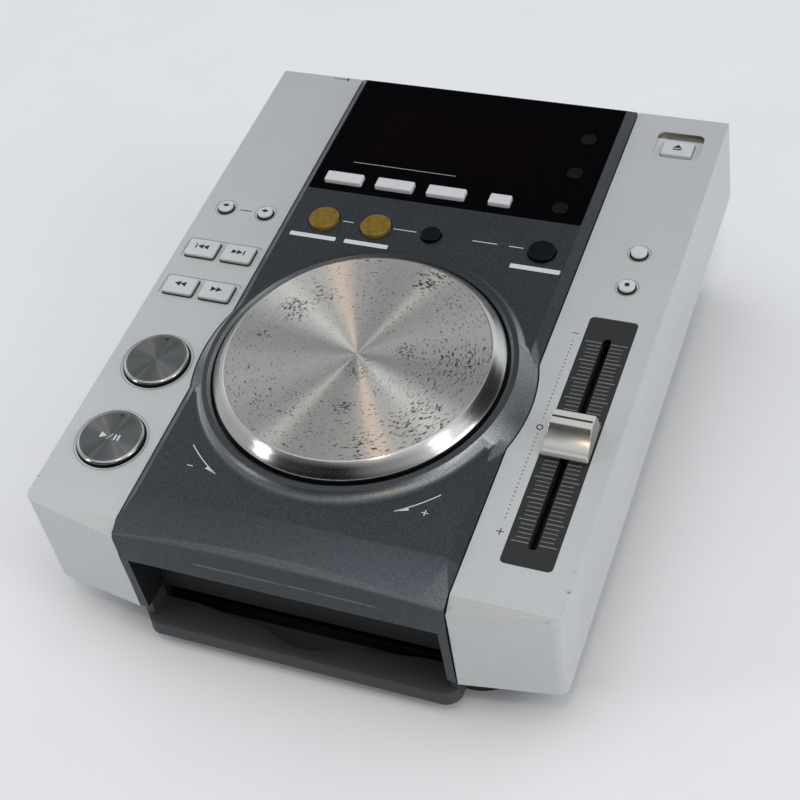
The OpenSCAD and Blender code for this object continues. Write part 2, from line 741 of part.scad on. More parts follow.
// Screws through the chassis flange into the covers' posts, and screws of the rear panel
module case_screws() {
    color([0.2, 0.2, 0.2]) {
        deck() for (s = [-1, 1], v = boss_places) translate([s * boss_u, v, flange_w0 - 1.4]) {
            cylinder(r = 2.9, h = 1.4);
            cylinder(r = 1.4, h = 11);
        }
        base() for (x = rear_screws) translate([x, rear_panel_y + 1.2, rear_screw_z]) rotate([90, 0, 0]) {
            cylinder(r = 2.6, h = 1.2);
            cylinder(r = rear_screw_r, h = 4);
        }
    }
}
rear_screws = [-tub_in + 5.2, -15, 15, tub_in - 1.7];
rear_screw_z = 15;
rear_screw_r = 1.3;

// A panel between the walls of the tub, with the frame of the rocker switch
module rear_panel() {
    frame_d = 14;
    color([0.13, 0.13, 0.14]) base() difference() {
        union() {
            block([-tub_in, rear_panel_y - rear_t, floor_top], [tub_in, rear_panel_y, rear_top]);
            translate([switch_x, rear_panel_y - frame_d / 2 + 1, switch_z])
                cube([switch_w + 4, frame_d + 2, switch_hgt + 4], center = true);
        }
        translate([switch_x, rear_panel_y - frame_d / 2 + 3, switch_z])
            cube([switch_w, frame_d + 2, switch_hgt], center = true);
        translate([switch_x, rear_panel_y, switch_z]) rotate([0, 90, 0])
            cylinder(r = rocker_pin + run_gap, h = switch_w + 3, center = true);
        translate([inlet_x, rear_panel_y, inlet_z]) cube([inlet_w, far / 8, inlet_hgt], center = true);
        for (x = jack_x) rear_hole(x, jack_z, jack_r + jack_shoulder + socket_gap);
        rear_hole(mini_x, jack_z, mini_r + socket_gap);
        for (x = rear_screws) rear_hole(x, rear_screw_z, rear_screw_r);
    }
}
rocker_pin = 1.5;
rocker_tilt = 8;
module rear_hole(x, z, r) {
    translate([x, rear_panel_y, z]) rotate([90, 0, 0]) cylinder(r = r, h = 20, center = true);
}

// Rocker of the mains switch, on pins in the rear panel's frame
module power_switch() {
    w = switch_w - 2 * pass_gap;
    h = switch_hgt / 2 - pass_gap - 1.1;
    side = [[-7, -3], [-1, -h], [3.2, -h], [2.3, -0.6 * h], [1.7, -0.2 * h],
        [1.7, 0.2 * h], [2.3, 0.6 * h], [3.2, h], [-1, h], [-7, 3]];
    color([0.06, 0.06, 0.06]) base() translate([switch_x, rear_panel_y, switch_z])
        rotate([-rocker_tilt, 0, 0]) {
            along_x(-w / 2, w / 2) polygon(side);
            rotate([0, 90, 0]) cylinder(r = rocker_pin, h = switch_w + 2.4, center = true);
        }
}

// Mains inlet for a two-pole lead
module ac_inlet() {
    color([0.05, 0.05, 0.05]) base() translate([inlet_x, rear_panel_y, inlet_z]) {
        difference() {
            union() {
                translate([0, 1.2, 0]) cube([inlet_w + 5, 2.4, inlet_hgt + 5], center = true);
                translate([0, -9, 0]) cube([inlet_w, 20, inlet_hgt], center = true);
            }
            translate([0, 4.2, 0]) rotate([90, 0, 0]) linear_extrude(17) {
                for (s = [-1, 1]) translate([4 * s, 0]) circle(r = 3.6);
                square([8, 5], center = true);
            }
        }
        for (s = [-1, 1]) translate([4 * s, -1, 0]) rotate([90, 0, 0]) cylinder(r = 1.2, h = 13);
    }
}

// Block of phono sockets, each with a shoulder in the rear panel's hole, and the start lead's mini socket
module audio_jacks() {
    body_d = 16;
    mini_depth = 13;
    color("goldenrod") base() difference() {
        union() {
            block([jack_x[0] - 6, rear_panel_y - rear_t - body_d, jack_z - 7],
                [mini_x + 5, rear_panel_y - rear_t, jack_z + 7]);
            for (x = jack_x) {
                socket_rod(x, rear_y, jack_r, jack_len + 0.5);
                socket_rod(x, rear_panel_y, jack_r + jack_shoulder, rear_t + 1);
            }
            socket_rod(mini_x, rear_panel_y + mini_out, mini_r, mini_out + rear_t + 1);
        }
        for (x = jack_x) socket_rod(x, rear_y + 1, jack_bore, jack_len + 1);
        socket_rod(mini_x, rear_panel_y + mini_out + 1, mini_bore, mini_out + 1 + mini_depth);
    }
}
module socket_rod(x, y, r, h) { translate([x, y, jack_z]) rotate([90, 0, 0]) cylinder(r = r, h = h); }

// ---------------------------------------------------------------- keys and buttons

// Foot of a key: flange under the plate and plunger down to a gap over its switch
module key_foot(plate_w, board_w, u, v) {
    low = board_w + switch_h + stem_h + key_press + 0.3;
    top = plate_w - wall - pass_gap - flange_t;
    translate([u, v, low]) cylinder(r = 1.6, h = top - low + 0.1);
}

module round_key(u, v, r, top, plate_w, board_w) {
    under = plate_w - wall - pass_gap;
    deck() {
        translate([u, v, under - flange_t]) cylinder(r = r + flange_w, h = flange_t);
        translate([u, v, under - 0.1]) cylinder(r = r, h = plate_w + top - under + 0.1);
        key_foot(plate_w, board_w, u, v);
    }
}

module flat_key(u, v, w, d, top, plate_w, board_w, corner = 1.2) {
    under = plate_w - wall - pass_gap;
    deck() {
        translate([u, v, under - flange_t]) linear_extrude(flange_t)
            polygon(round_rect(w + key_bar / 2 - pass_gap, d + 2 * flange_w, corner));
        translate([u, v, under - 0.1]) linear_extrude(plate_w + top - under + 0.1)
            polygon(round_rect(w, d, corner));
        key_foot(plate_w, board_w, u, v);
    }
}

module cue_button() { color("dimgray") round_key(left_u, cue_v, cue_r, cue_top, 0, side_board_w); }
module play_button() { color("dimgray") round_key(left_u, play_v, cue_r, cue_top, 0, side_board_w); }
module search_key(s, v) {
    color("gainsboro") flat_key(left_u + s * key_u, v, key_w, key_d, key_top, 0, side_board_w);
}
module track_back_key() { search_key(-1, track_v); }
module track_forward_key() { search_key(1, track_v); }
module search_back_key() { search_key(-1, search_v); }
module search_forward_key() { search_key(1, search_v); }
module small_button(u, v) { color("gainsboro") round_key(u, v, small_r, small_top, 0, side_board_w); }
module folder_back_button() { small_button(left_u - folder_half, folder_v); }
module folder_forward_button() { small_button(left_u + folder_half, folder_v); }
module tempo_range_button() { small_button(right_u, range_v); }
module master_tempo_button() { small_button(right_u, master_v); }
module eject_key() { color("gainsboro") flat_key(right_u, eject_v, eject_w, eject_d, 0.2, 0, side_board_w); }
module loop_button(u, r, tone) { color(tone) round_key(u, loop_v, r, loop_top, panel_rise, centre_board_w); }
module loop_in_button() { loop_button(loop_in_u, loop_r, "goldenrod"); }
module loop_out_button() { loop_button(loop_out_u, loop_r, "goldenrod"); }
module reloop_button() { loop_button(reloop_u, reloop_r, [0.06, 0.06, 0.06]); }
module beat_loop_button() { loop_button(beat_u, beat_r, [0.06, 0.06, 0.06]); }
module window_key(u, w) {
    color("white") flat_key(u, effect_v, w, effect_d, effect_top, panel_rise, display_board_w, 0.7);
}
module effect_key_left() { window_key(effect_u, effect_w); }
module effect_key_middle() { window_key(effect_u + effect_pitch, effect_w); }
module effect_key_right() { window_key(effect_u + 2 * effect_pitch, effect_w); }
module hold_key() { window_key(hold_u, hold_w); }
module mode_button(i) {
    color([0.06, 0.06, 0.06])
        round_key(mode_u, mode_v + i * mode_pitch, mode_r, mode_top, panel_rise, display_board_w);
}
module text_mode_button() { mode_button(2); }
module time_mode_button() { mode_button(1); }
module auto_cue_button() { mode_button(0); }

// ---------------------------------------------------------------- pitch fader

module fader_plate() {
    color([0.07, 0.07, 0.08]) deck() translate([right_u, fader_v, -fader_t - 0.2]) difference() {
        linear_extrude(fader_t) polygon(round_rect(fader_w, fader_len, 1.9));
        translate([0, fader_shift, -1]) linear_extrude(far)
            polygon(round_rect(fader_slot, 2 * slot_half, 1.2));
    }
}

// Steel box that guides the lever, under the cover
module fader_body() {
    length = fader_len + 11;
    color("lightgray") deck() translate([right_u, fader_v, fader_body_top - fader_body_h]) difference() {
        translate([-fader_body_w / 2, -length / 2, 0]) cube([fader_body_w, length, fader_body_h]);
        translate([0, fader_shift, 1]) linear_extrude(fader_hollow_h)
            square([fader_body_w - 2, 2 * slot_half + 6], center = true);
        translate([0, fader_shift, 2]) linear_extrude(far) square([fader_slot, 2 * slot_half], center = true);
    }
}

// Carriage and tongue, which carries the cap
module fader_lever() {
    half = fader_body_w / 2 - 1 - pass_gap;
    low = fader_body_top - fader_body_h + 1 + pass_gap;
    color("silver") deck() translate([right_u, fader_v + fader_shift, 0]) {
        block([-half, -4.5, low], [half, 4.5, low + fader_hollow_h - 2 * pass_gap]);
        block([-lever_t / 2, -lever_d / 2, low], [lever_t / 2, lever_d / 2, lever_in_cap]);
    }
}

// Cap: a finger ramp that rises to a ridge with the pointer line
module fader_cap() {
    foot = [cap_front + 0.7, cap_lip + 0.1];
    ramp = [for (i = [0:8]) let (t = i / 8)
        [foot[0] + t * (cap_ridge[0] - foot[0]), foot[1] + t * t * (cap_top - foot[1])]];
    side = concat([[cap_rear, cap_foot], [cap_front, cap_foot], [cap_front, cap_lip - 0.6]], ramp,
        [[cap_ridge[1], cap_top], [cap_rear - 0.3, cap_foot + 3]]);
    draft = 1.1;
    color("silver") deck() translate([right_u, fader_v + fader_shift, 0]) difference() {
        intersection() {
            along_x(-cap_w / 2, cap_w / 2) polygon(side);
            along_y(-20, 20) polygon([[-cap_w / 2, cap_foot], [cap_w / 2, cap_foot],
                [cap_w / 2 - draft, cap_top], [-cap_w / 2 + draft, cap_top]]);
        }
        block([-lever_t / 2, -lever_d / 2, 0], [lever_t / 2, lever_d / 2, lever_in_cap]);
    }
}

// ---------------------------------------------------------------- jog wheel

module jog_platter() {
    under = jog_top - platter_t;
    over_bearing = bearing_top + bearing_flange + pass_gap;
    color("silver") deck() translate([0, jog_v, 0]) rotate_extrude($fn = 128) polygon([
        [0, jog_top], [jog_face_r, jog_top], [jog_rim_r, jog_rim_w], [jog_rim_r, jog_skirt_w],
        [jog_rim_r - platter_t, jog_skirt_w], [jog_rim_r - platter_t, jog_rim_w - platter_t / 2],
        [jog_face_r - platter_t / 2, under], [hub_outer, under],
        [hub_outer, over_bearing], [shaft_r, over_bearing],
        [shaft_r, under + shaft_in], [0, under + shaft_in]]);
}

// Shaft with the slotted disc that the sensor reads
module jog_shaft() {
    color("silver") deck() translate([0, jog_v, 0]) {
        translate([0, 0, shaft_low]) cylinder(r = shaft_r, h = jog_top - platter_t + shaft_in - shaft_low);
        difference() {
            translate([0, 0, encoder_w]) cylinder(r = encoder_r, h = encoder_t);
            for (i = [0:encoder_n - 1]) rotate(i * 360 / encoder_n)
                translate([encoder_r - 1.5 * encoder_slot[0], -encoder_slot[1] / 2, encoder_w - encoder_t])
                    cube([encoder_slot[0], encoder_slot[1], 3 * encoder_t]);
        }
    }
}

module jog_bearing() {
    color("goldenrod") deck() translate([0, jog_v, bearing_low]) {
        tube(bearing_r, shaft_r + run_gap, bearing_top - bearing_low);
        translate([0, 0, bearing_top - bearing_low]) tube(bearing_r + 2, shaft_r + run_gap, bearing_flange);
    }
}

// ---------------------------------------------------------------- boards

// A tact switch on a board at level w
module tact(u, v, w) {
    translate([u - switch_a / 2, v - switch_a / 2, w - 0.1]) cube([switch_a, switch_a, switch_h + 0.1]);
    translate([u, v, w + switch_h - 0.1]) cylinder(r = stem_r, h = stem_h + 0.1);
}

module deck_board(u0, v0, u1, v1, w) { block([u0, v0, w - board_t], [u1, v1, w]); }

module display_module() {
    color("darkgreen") deck() {
        deck_board(-63, window_v0 + 2, 63, window_v1 - 1, display_board_w);
        for (i = [0:2]) tact(effect_u + i * effect_pitch, effect_v, display_board_w);
        tact(hold_u, effect_v, display_board_w);
        for (i = [0:2]) tact(mode_u, mode_v + i * mode_pitch, display_board_w);
        block([glass_box[0], glass_box[1], display_board_w - 0.1],
            [glass_box[2], glass_box[3], display_board_w + glass_h]);
    }
}

module left_board() {
    color("darkgreen") deck() difference() {
        union() {
            deck_board(-body_w / 2 + wall + 2.1, play_v - 14, -cover_in - 2, folder_v + 8, side_board_w);
            for (v = [cue_v, play_v]) tact(left_u, v, side_board_w);
            for (s = [-1, 1], v = [track_v, search_v]) tact(left_u + s * key_u, v, side_board_w);
            for (s = [-1, 1]) tact(left_u + s * folder_half, folder_v, side_board_w);
        }
        translate([-boss_u, boss_places[1], -far / 2]) cylinder(r = boss_r + 0.8, h = far);
    }
}

module right_board() {
    color("darkgreen") deck() {
        deck_board(right_u - 18, master_v - 6, right_u + 8, deck_len - 14, side_board_w);
        for (v = [master_v, range_v, eject_v]) tact(right_u, v, side_board_w);
    }
}

// Board with the loop switches, the lamp and the jog sensor
module centre_board() {
    sensor = jog_v + encoder_r;
    color("darkgreen") deck() {
        deck_board(-60, jog_v - 26, 60, loop_v + 15, centre_board_w);
        for (u = [loop_in_u, loop_out_u, reloop_u, beat_u]) tact(u, loop_v, centre_board_w);
        translate([led_u, loop_v, centre_board_w - 0.1])
            cylinder(r = led_r, h = panel_rise - centre_board_w + 0.1);
        difference() {
            block([-4, sensor - 4, centre_board_w - 0.1], [4, sensor + 4, encoder_w + 3]);
            block([-5, sensor - 5, encoder_w - 0.8], [5, sensor + 1, encoder_w + encoder_t + 0.8]);
        }
    }
}

module main_board() {
    b = main_box;
    top = rear_board_z + board_t;
    color("darkgreen") base() {
        block([b[0], b[1], rear_board_z], [b[2], b[3], top]);
        block([b[0] + 14, b[1] + 12, top - 0.1], [b[0] + 34, b[1] + 32, top + 2.4]);
        block([b[0] + 46, b[1] + 10, top - 0.1], [b[0] + 58, b[1] + 20, top + 2]);
        for (i = [0:3]) translate([b[0] + 66 + 4 * (i % 2), b[1] + 26 + 5 * i, top - 0.1])
            cylinder(r = 2, h = 6);
        block([b[0] + 10, b[3] - 8, top - 0.1], [b[0] + 32, b[3] - 3, top + 5]);
    }
}

module power_supply() {
    b = supply_box;
    top = rear_board_z + board_t;
    color("darkgreen") base() {
        block([b[0], b[1], rear_board_z], [b[2], b[3], top]);
        block([b[0] + 10, b[1] + 10, top - 0.1], [b[0] + 34, b[1] + 34, top + 19]);
        block([b[0] + 44, b[1] + 6, top - 0.1], [b[0] + 47, b[1] + 34, top + 18]);
        for (i = [0:2]) translate([b[0] + 58 + 5 * i, b[1] + 14 + 11 * i, top - 0.1])
            cylinder(r = 4.5, h = 14);
        block([b[0] + 34, b[3] - 20, top - 0.1], [b[0] + 50, b[3] - 12, top + 7]);
    }
}

// ---------------------------------------------------------------- slot loader

// A spur gear with slender teeth, its first tooth along +X
// A tooth's points are radii and shares of the angle between two teeth
module gear(n) {
    pitch = gear_m * n / 2;
    tip = pitch + 0.8 * gear_m;
    root = pitch - 1.1 * gear_m;
    tooth = [[root, -0.3], [tip, -0.11], [tip, 0.11], [root, 0.3]];
    linear_extrude(gear_w) polygon([for (i = [0:n - 1], k = tooth) let (a = (i + k[1]) * 360 / n)
        k[0] * [cos(a), sin(a)]]);
}

// A round bar along X through the middle plane, and the bore for a rod along Y at the rods' level
module cross_bar(y, z, r, length) {
    translate([0, y, z]) rotate([0, 90, 0]) cylinder(r = r, h = length, center = true);
}
module rod_bore(x, r) { translate([x, 0, rod_z]) rotate([-90, 0, 0]) cylinder(r = r, h = far); }

module loader_frame() {
    brace_y = hinge_y - 4;
    bracket_y = plate_y0 + 12;
    color("lightgray") base() difference() {
        union() {
            block([-frame_x, plate_y0, frame_z], [frame_x, frame_y1, frame_z + frame_t]);
            for (x = [-frame_x, frame_x - frame_t])
                block([x, frame_y0, frame_z], [x + frame_t, frame_y1, frame_top]);
            block([-frame_x, brace_y, frame_top - frame_t], [frame_x, frame_y1, frame_top]);
            for (x = [-hinge_ear_x - hinge_ear_t, hinge_ear_x])
                block([x, hinge_y - 3, hinge_z - 3], [x + hinge_ear_t, hinge_y + 3, frame_top]);
            // Bracket of the loader motor
            block([frame_x - 0.1, plate_y0 + 2, frame_z], [loader_motor_x, bracket_y, frame_z + frame_t]);
            block([loader_motor_x - frame_t, roller_y - 4, frame_z],
                [loader_motor_x, bracket_y, pinion_z + 7]);
            // Blocks that hold the guide rods
            for (y = [rod_y0, rod_y1 - 3], s = [-1, 1])
                block([s * rod_x - 3, y, frame_z], [s * rod_x + 3, y + 3, rod_z + 3]);
            block([screw_x - 5, rod_y1, frame_z], [screw_x + 5, rod_y1 + 2, rod_z + 4]);
            block([screw_x - 4, rod_y0, frame_z], [screw_x + 4, rod_y0 + 4, rod_z + 3]);
        }
        cross_bar(roller_y, roller_z, roller_shaft + run_gap, far);
        cross_bar(hinge_y, hinge_z, hinge_pin + run_gap, 3 * hinge_ear_x);
        translate([loader_motor_x - 3, pinion_y, pinion_z]) rotate([0, 90, 0]) cylinder(r = 2, h = 6);
        translate([0, spindle_y, 0]) cylinder(r = spindle_motor_r + 0.5, h = far / 10);
        for (s = [-1, 1]) rod_bore(s * rod_x, rod_r);
        rod_bore(screw_x, rod_r + run_gap);
        block([-50, plate_y0 + 16, 0], [50, spindle_y - 20, frame_z + 5]);
    }
}
spindle_motor_r = 11;

module loading_roller() {
    color([0.1, 0.1, 0.1]) base() translate([0, roller_y, roller_z]) rotate([0, 90, 0]) {
        translate([0, 0, -roller_half]) cylinder(r = roller_r, h = 2 * roller_half);
        translate([0, 0, -frame_x - 2]) cylinder(r = roller_shaft, h = 2 * frame_x + 4);
        translate([0, 0, gear_x]) rotate(90 + mesh_a) gear(gear_n);
    }
}

module loader_pinion() {
    color("ivory") base() translate([gear_x, pinion_y, pinion_z]) rotate([0, 90, 0]) {
        rotate(90 + mesh_a + 180 + 180 / pinion_n) gear(pinion_n);
        cylinder(r = pinion_shaft, h = gear_w + loader_motor_gap + pinion_shaft_in);
    }
}

module loader_motor() {
    color("silver") base() translate([loader_motor_x, pinion_y, pinion_z]) rotate([0, 90, 0]) {
        tube(loader_motor_r, pinion_shaft + run_gap, loader_motor_len);
        translate([0, 0, loader_motor_len]) cylinder(r = 3, h = loader_motor_end);
    }
}

// Arm that presses the clamp on the disc, hinged at its rear
module clamp_arm() {
    color("lightgray") base() difference() {
        union() {
            block([-arm_half, spindle_y - 9, arm_z], [arm_half, hinge_y - 2, arm_z + arm_t]);
            block([-arm_half, hinge_y - 3.2, arm_z], [arm_half, hinge_y + 2, hinge_z + 2]);
            cross_bar(hinge_y, hinge_z, hinge_pin, 2 * (hinge_ear_x + hinge_ear_t) + 3);
        }
        translate([0, spindle_y, 0]) cylinder(r = clamp_stem + run_gap, h = far);
    }
}

// Magnetic clamp that hangs in the arm and turns with the disc
module disc_clamp() {
    head = arm_z + arm_t + 0.3;
    color([0.15, 0.15, 0.16]) base() translate([0, spindle_y, 0]) difference() {
        union() {
            translate([0, 0, clamp_z]) cylinder(r = clamp_r, h = 3);
            translate([0, 0, clamp_z]) cylinder(r = clamp_stem, h = head + 1.4 - clamp_z);
            translate([0, 0, head]) cylinder(r = clamp_stem + 2, h = 1.4);
        }
        translate([0, 0, clamp_z - 1]) cylinder(r = hub_r + 0.5, h = 2.5);
    }
}

module turntable() {
    plate_z = disc_z - 1.4;
    color([0.12, 0.12, 0.13]) base() translate([0, spindle_y, 0]) {
        translate([0, 0, plate_z]) cylinder(r = table_r, h = 1.4);
        translate([0, 0, disc_z - 0.1]) cylinder(r = hub_r, h = 1.4);
        translate([0, 0, disc_z + 1.2]) cylinder(r1 = hub_r, r2 = hub_r - 1.2, h = 0.7);
        translate([0, 0, frame_z + 0.6]) cylinder(r = table_shaft, h = plate_z - frame_z);
    }
}

module spindle_motor() {
    low = floor_top + 0.4;
    color("silver") base() translate([0, spindle_y, 0]) difference() {
        union() {
            translate([0, 0, low]) cylinder(r = spindle_motor_r, h = disc_z - 2 - low);
            translate([0, 0, frame_z + frame_t]) cylinder(r = spindle_motor_r + 3, h = 0.8);
        }
        translate([0, 0, frame_z]) cylinder(r = table_shaft + run_gap, h = far);
    }
}

module pickup_sled() {
    low = frame_z + frame_t + pass_gap;
    bush_top = rod_z + 2.4;
    color([0.2, 0.2, 0.22]) base() difference() {
        union() {
            block([-sled_half, sled_y, low], [sled_half, sled_y + sled_len, low + 3.8]);
            for (s = [-1, 1]) {
                block([s * rod_x - 3, sled_y + 3, low], [s * rod_x + 3, sled_y + sled_len - 3, bush_top]);
                block([s * 20 - 2, sled_y + 3, low], [s * 20 + 2, sled_y + sled_len - 3, low + 3.4]);
            }
            block([rod_x + 2, sled_y + 8, low], [screw_x + 3, sled_y + 16, bush_top]);
            // Lens
            translate([0, sled_y + 8, low + 3.7]) cylinder(r = 3.4, h = 0.9);
        }
        for (s = [-1, 1]) rod_bore(s * rod_x, rod_r + run_gap);
        rod_bore(screw_x, rod_r + run_gap);
    }
}

module guide_rods() {
    color("silver") base() for (s = [-1, 1]) translate([s * rod_x, rod_y0, rod_z]) rotate([-90, 0, 0])
        cylinder(r = rod_r, h = rod_y1 - rod_y0);
}

module lead_screw() {
    y0 = rod_y0 + 1;
    color("goldenrod") base() translate([screw_x, y0, rod_z]) rotate([-90, 0, 0]) {
        cylinder(r = rod_r, h = rod_y1 + 2 - y0);
        cylinder(r = pinion_shaft, h = rod_y1 + 8 - y0);
    }
}

module sled_motor() {
    color("silver") base() translate([screw_x, sled_motor_y, rod_z]) rotate([-90, 0, 0]) difference() {
        cylinder(r = sled_motor_r, h = sled_motor_len);
        translate([0, 0, -1]) cylinder(r = pinion_shaft + run_gap, h = 8);
    }
}

bottom_chassis();
disc_shelf();
slot_bezel();
cover_left();
cover_right();
centre_panel();
display_window();
rear_panel();
rubber_feet();
case_screws();
cue_button();
play_button();
track_back_key();
track_forward_key();
search_back_key();
search_forward_key();
folder_back_button();
folder_forward_button();
eject_key();
tempo_range_button();
master_tempo_button();
loop_in_button();
loop_out_button();
reloop_button();
beat_loop_button();
effect_key_left();
effect_key_middle();
effect_key_right();
hold_key();
text_mode_button();
time_mode_button();
auto_cue_button();
fader_plate();
fader_body();
fader_lever();
fader_cap();
jog_platter();
jog_shaft();
jog_bearing();
display_module();
left_board();
right_board();
centre_board();
main_board();
power_supply();
ac_inlet();
power_switch();
audio_jacks();
loader_frame();
loading_roller();
loader_motor();
loader_pinion();
clamp_arm();
disc_clamp();
turntable();
spindle_motor();
pickup_sled();
guide_rods();
lead_screw();
sled_motor();
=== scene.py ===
"""Dresses the tabletop disc player: rounded shells and keys, turned metal, prints, wear, light and camera.

Pieces are drawn in the deck frame, in millimetres: u to the right, v up the sloping deck from its
front edge, w along the deck's normal.
"""
import json
from math import atan2, cos, hypot, pi, radians, sin, sqrt

import bmesh
import bpy
from mathutils import Matrix, Vector


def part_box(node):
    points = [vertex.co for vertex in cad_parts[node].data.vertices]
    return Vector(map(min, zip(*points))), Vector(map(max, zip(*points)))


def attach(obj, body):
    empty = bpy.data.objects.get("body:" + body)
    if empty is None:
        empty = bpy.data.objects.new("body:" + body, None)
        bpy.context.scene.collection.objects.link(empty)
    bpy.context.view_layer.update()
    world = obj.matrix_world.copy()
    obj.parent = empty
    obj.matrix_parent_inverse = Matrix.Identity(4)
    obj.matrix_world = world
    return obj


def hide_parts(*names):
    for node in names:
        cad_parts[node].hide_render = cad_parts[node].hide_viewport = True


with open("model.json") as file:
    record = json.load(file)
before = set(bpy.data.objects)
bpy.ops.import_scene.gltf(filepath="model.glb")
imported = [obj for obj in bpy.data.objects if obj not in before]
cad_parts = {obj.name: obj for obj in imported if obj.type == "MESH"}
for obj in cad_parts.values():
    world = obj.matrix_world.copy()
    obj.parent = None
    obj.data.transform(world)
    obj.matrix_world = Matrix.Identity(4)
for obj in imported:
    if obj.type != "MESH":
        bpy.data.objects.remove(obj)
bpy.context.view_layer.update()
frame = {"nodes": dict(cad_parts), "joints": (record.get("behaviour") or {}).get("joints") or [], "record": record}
NODES = frame["nodes"]
MM = 0.001

# ---------------- the deck frame, from the wheel's joint

JOG_V = 90.0  # the wheel's axis behind the deck's front edge
JOG_SPIN = next(joint for joint in frame["joints"] if joint["name"] == "jog_spin")
TILT = atan2(-JOG_SPIN["axis"][1], JOG_SPIN["axis"][2])
DECK = (
    Matrix.Translation(JOG_SPIN["pos_m"])
    @ Matrix.Rotation(TILT, 4, "X")
    @ Matrix.Translation((0, -JOG_V * MM, 0))
)
TO_DECK = Matrix.Scale(1 / MM, 4) @ DECK.inverted()
FRONT_EDGE = DECK @ Vector((0, 0, 0))  # where the deck's front edge is in the room, m


def deck_points(node):
    """The points of a CAD node in the deck frame, in millimetres."""
    return [TO_DECK @ vertex.co for vertex in NODES[node].data.vertices]


def deck_box(node):
    """Lowest and highest corner of a CAD node in the deck frame, in millimetres."""
    points = deck_points(node)
    return tuple(Vector(pick(p[i] for p in points) for i in range(3)) for pick in (min, max))


def middle(node):
    """u and v of the middle of a CAD node's box."""
    low, high = deck_box(node)
    return (low.x + high.x) / 2, (low.y + high.y) / 2


def base_point(x, y, z):
    """A point counted from the table and the deck's front edge, in the deck frame."""
    height = z - FRONT_EDGE.z / MM
    c, s = cos(TILT), sin(TILT)
    return Vector((x, y * c + height * s, -y * s + height * c))


def put(name, data):
    """A new object with that data, linked to the scene."""
    thing = bpy.data.objects.new(name, data)
    bpy.context.scene.collection.objects.link(thing)
    return thing


def connect(tree, source, target):
    """Feeds a socket with a number, a colour, a vector or a node's output."""
    if isinstance(source, (int, float)):
        target.default_value = source
    elif isinstance(source, (tuple, Vector)):
        target.default_value = (*source, 1) if len(target.default_value) == 4 else source
    else:
        tree.links.new(source, target)


def add_node(tree, kind, inputs, **settings):
    """A new node with those settings and with those inputs, by number or name."""
    node = tree.nodes.new(kind)
    for key, value in settings.items():
        setattr(node, key, value)
    for key, source in inputs.items():
        connect(tree, source, node.inputs[key])
    return node


# ---------------- camera, light and room

FOCAL = 70.963  # mm on the sensor
SENSOR = 36.0
CLIP_END = 20  # m
CAMERA_AT = (218.504, -279.636, 467.758)  # deck frame, mm
CAMERA_RIGHT = (0.93133347, 0.33811617, -0.13526058)
CAMERA_DOWN = (0.1751561, -0.7415448, -0.64763543)
CAMERA_AHEAD = (-0.31927779, 0.57947284, -0.7498486)


def add_camera():
    data = bpy.data.cameras.new("camera")
    data.lens = FOCAL
    data.sensor_width = SENSOR
    data.clip_end = CLIP_END
    camera = put("camera", data)
    turn = DECK.to_3x3()
    right, down, ahead = (turn @ Vector(axis) for axis in (CAMERA_RIGHT, CAMERA_DOWN, CAMERA_AHEAD))
    matrix = Matrix((right, -down, -ahead)).transposed().to_4x4()
    matrix.translation = DECK @ (Vector(CAMERA_AT) * MM)
    camera.matrix_world = matrix
    bpy.context.scene.camera = camera


def direction(azimuth, elevation):
    """World direction of a place in the room, seen from the wheel and counted in the deck frame."""
    a, e = radians(azimuth), radians(elevation)
    return DECK.to_3x3() @ Vector((cos(a) * cos(e), sin(a) * cos(e), sin(e)))


LAMPS_AIM_AT = DECK @ Vector((0, JOG_V * MM, 14 * MM))  # the middle of the wheel's face
ROUND_BELOW = 1.0  # m; a lamp narrower than this is round, and shows so in the wheel's rim
# name: azimuth, elevation, distance m, width m, height m, power W, colour
LIGHTS = {
    "key": (150, 32, 2.1, 1.2, 0.9, 1.9, (1.0, 1.0, 1.0)),
    "front_left": (-145.6, 24, 1.5, 0.24, 0.28, 2.9, (1.0, 0.99, 0.97)),
    "right": (-14, 37, 1.5, 0.32, 0.28, 1.5, (1.0, 0.99, 0.98)),
    "side": (-8, 14, 2.1, 1.1, 0.5, 8.0, (1.0, 1.0, 1.0)),
    "warm": (-61, 66, 1.6, 0.12, 0.12, 2.9, (1.0, 0.66, 0.40)),
}


def add_lights():
    for name, (azimuth, elevation, distance, width, height, power, colour) in LIGHTS.items():
        data = bpy.data.lights.new(name, "AREA")
        data.shape = "ELLIPSE" if width < ROUND_BELOW else "RECTANGLE"
        data.size = width
        data.size_y = height
        data.energy = power
        data.color = colour
        lamp = put(name, data)
        out = direction(azimuth, elevation)
        lamp.location = LAMPS_AIM_AT + out * distance
        lamp.rotation_euler = out.to_track_quat("Z", "Y").to_euler()


# The room is a sum of soft bright fields: azimuth, elevation and strength of each
ROOM_FIELDS = (
    (0, 90, 0.741),
    (30, 62, 0.293),
    (150, 62, 0.26),
    (210, 62, 0.195),
    (330, 62, 0.36),
    (0, 35, 0.36),
    (36, 35, 0.189),
    (72, 35, 0.192),
    (180, 35, 0.36),
    (324, 35, 0.20),
    (0, 8, 0.55),
    (36, 8, 0.28),
    (72, 8, 0.85),
    (144, 8, 0.306),
    (180, 8, 0.457),
)
# Cosine of the angle to a field's middle where the field starts, and where it is full
FIELD_START, FIELD_FULL = 0.72, 0.985
# The dark wall seen in the rim: azimuth, elevation, the same two cosines, and its tone
DARK_FIELD = (32, 22, 0.88, 0.965, 0.03)
ROOM_COLOUR = (0.916, 0.961, 1.0, 1)


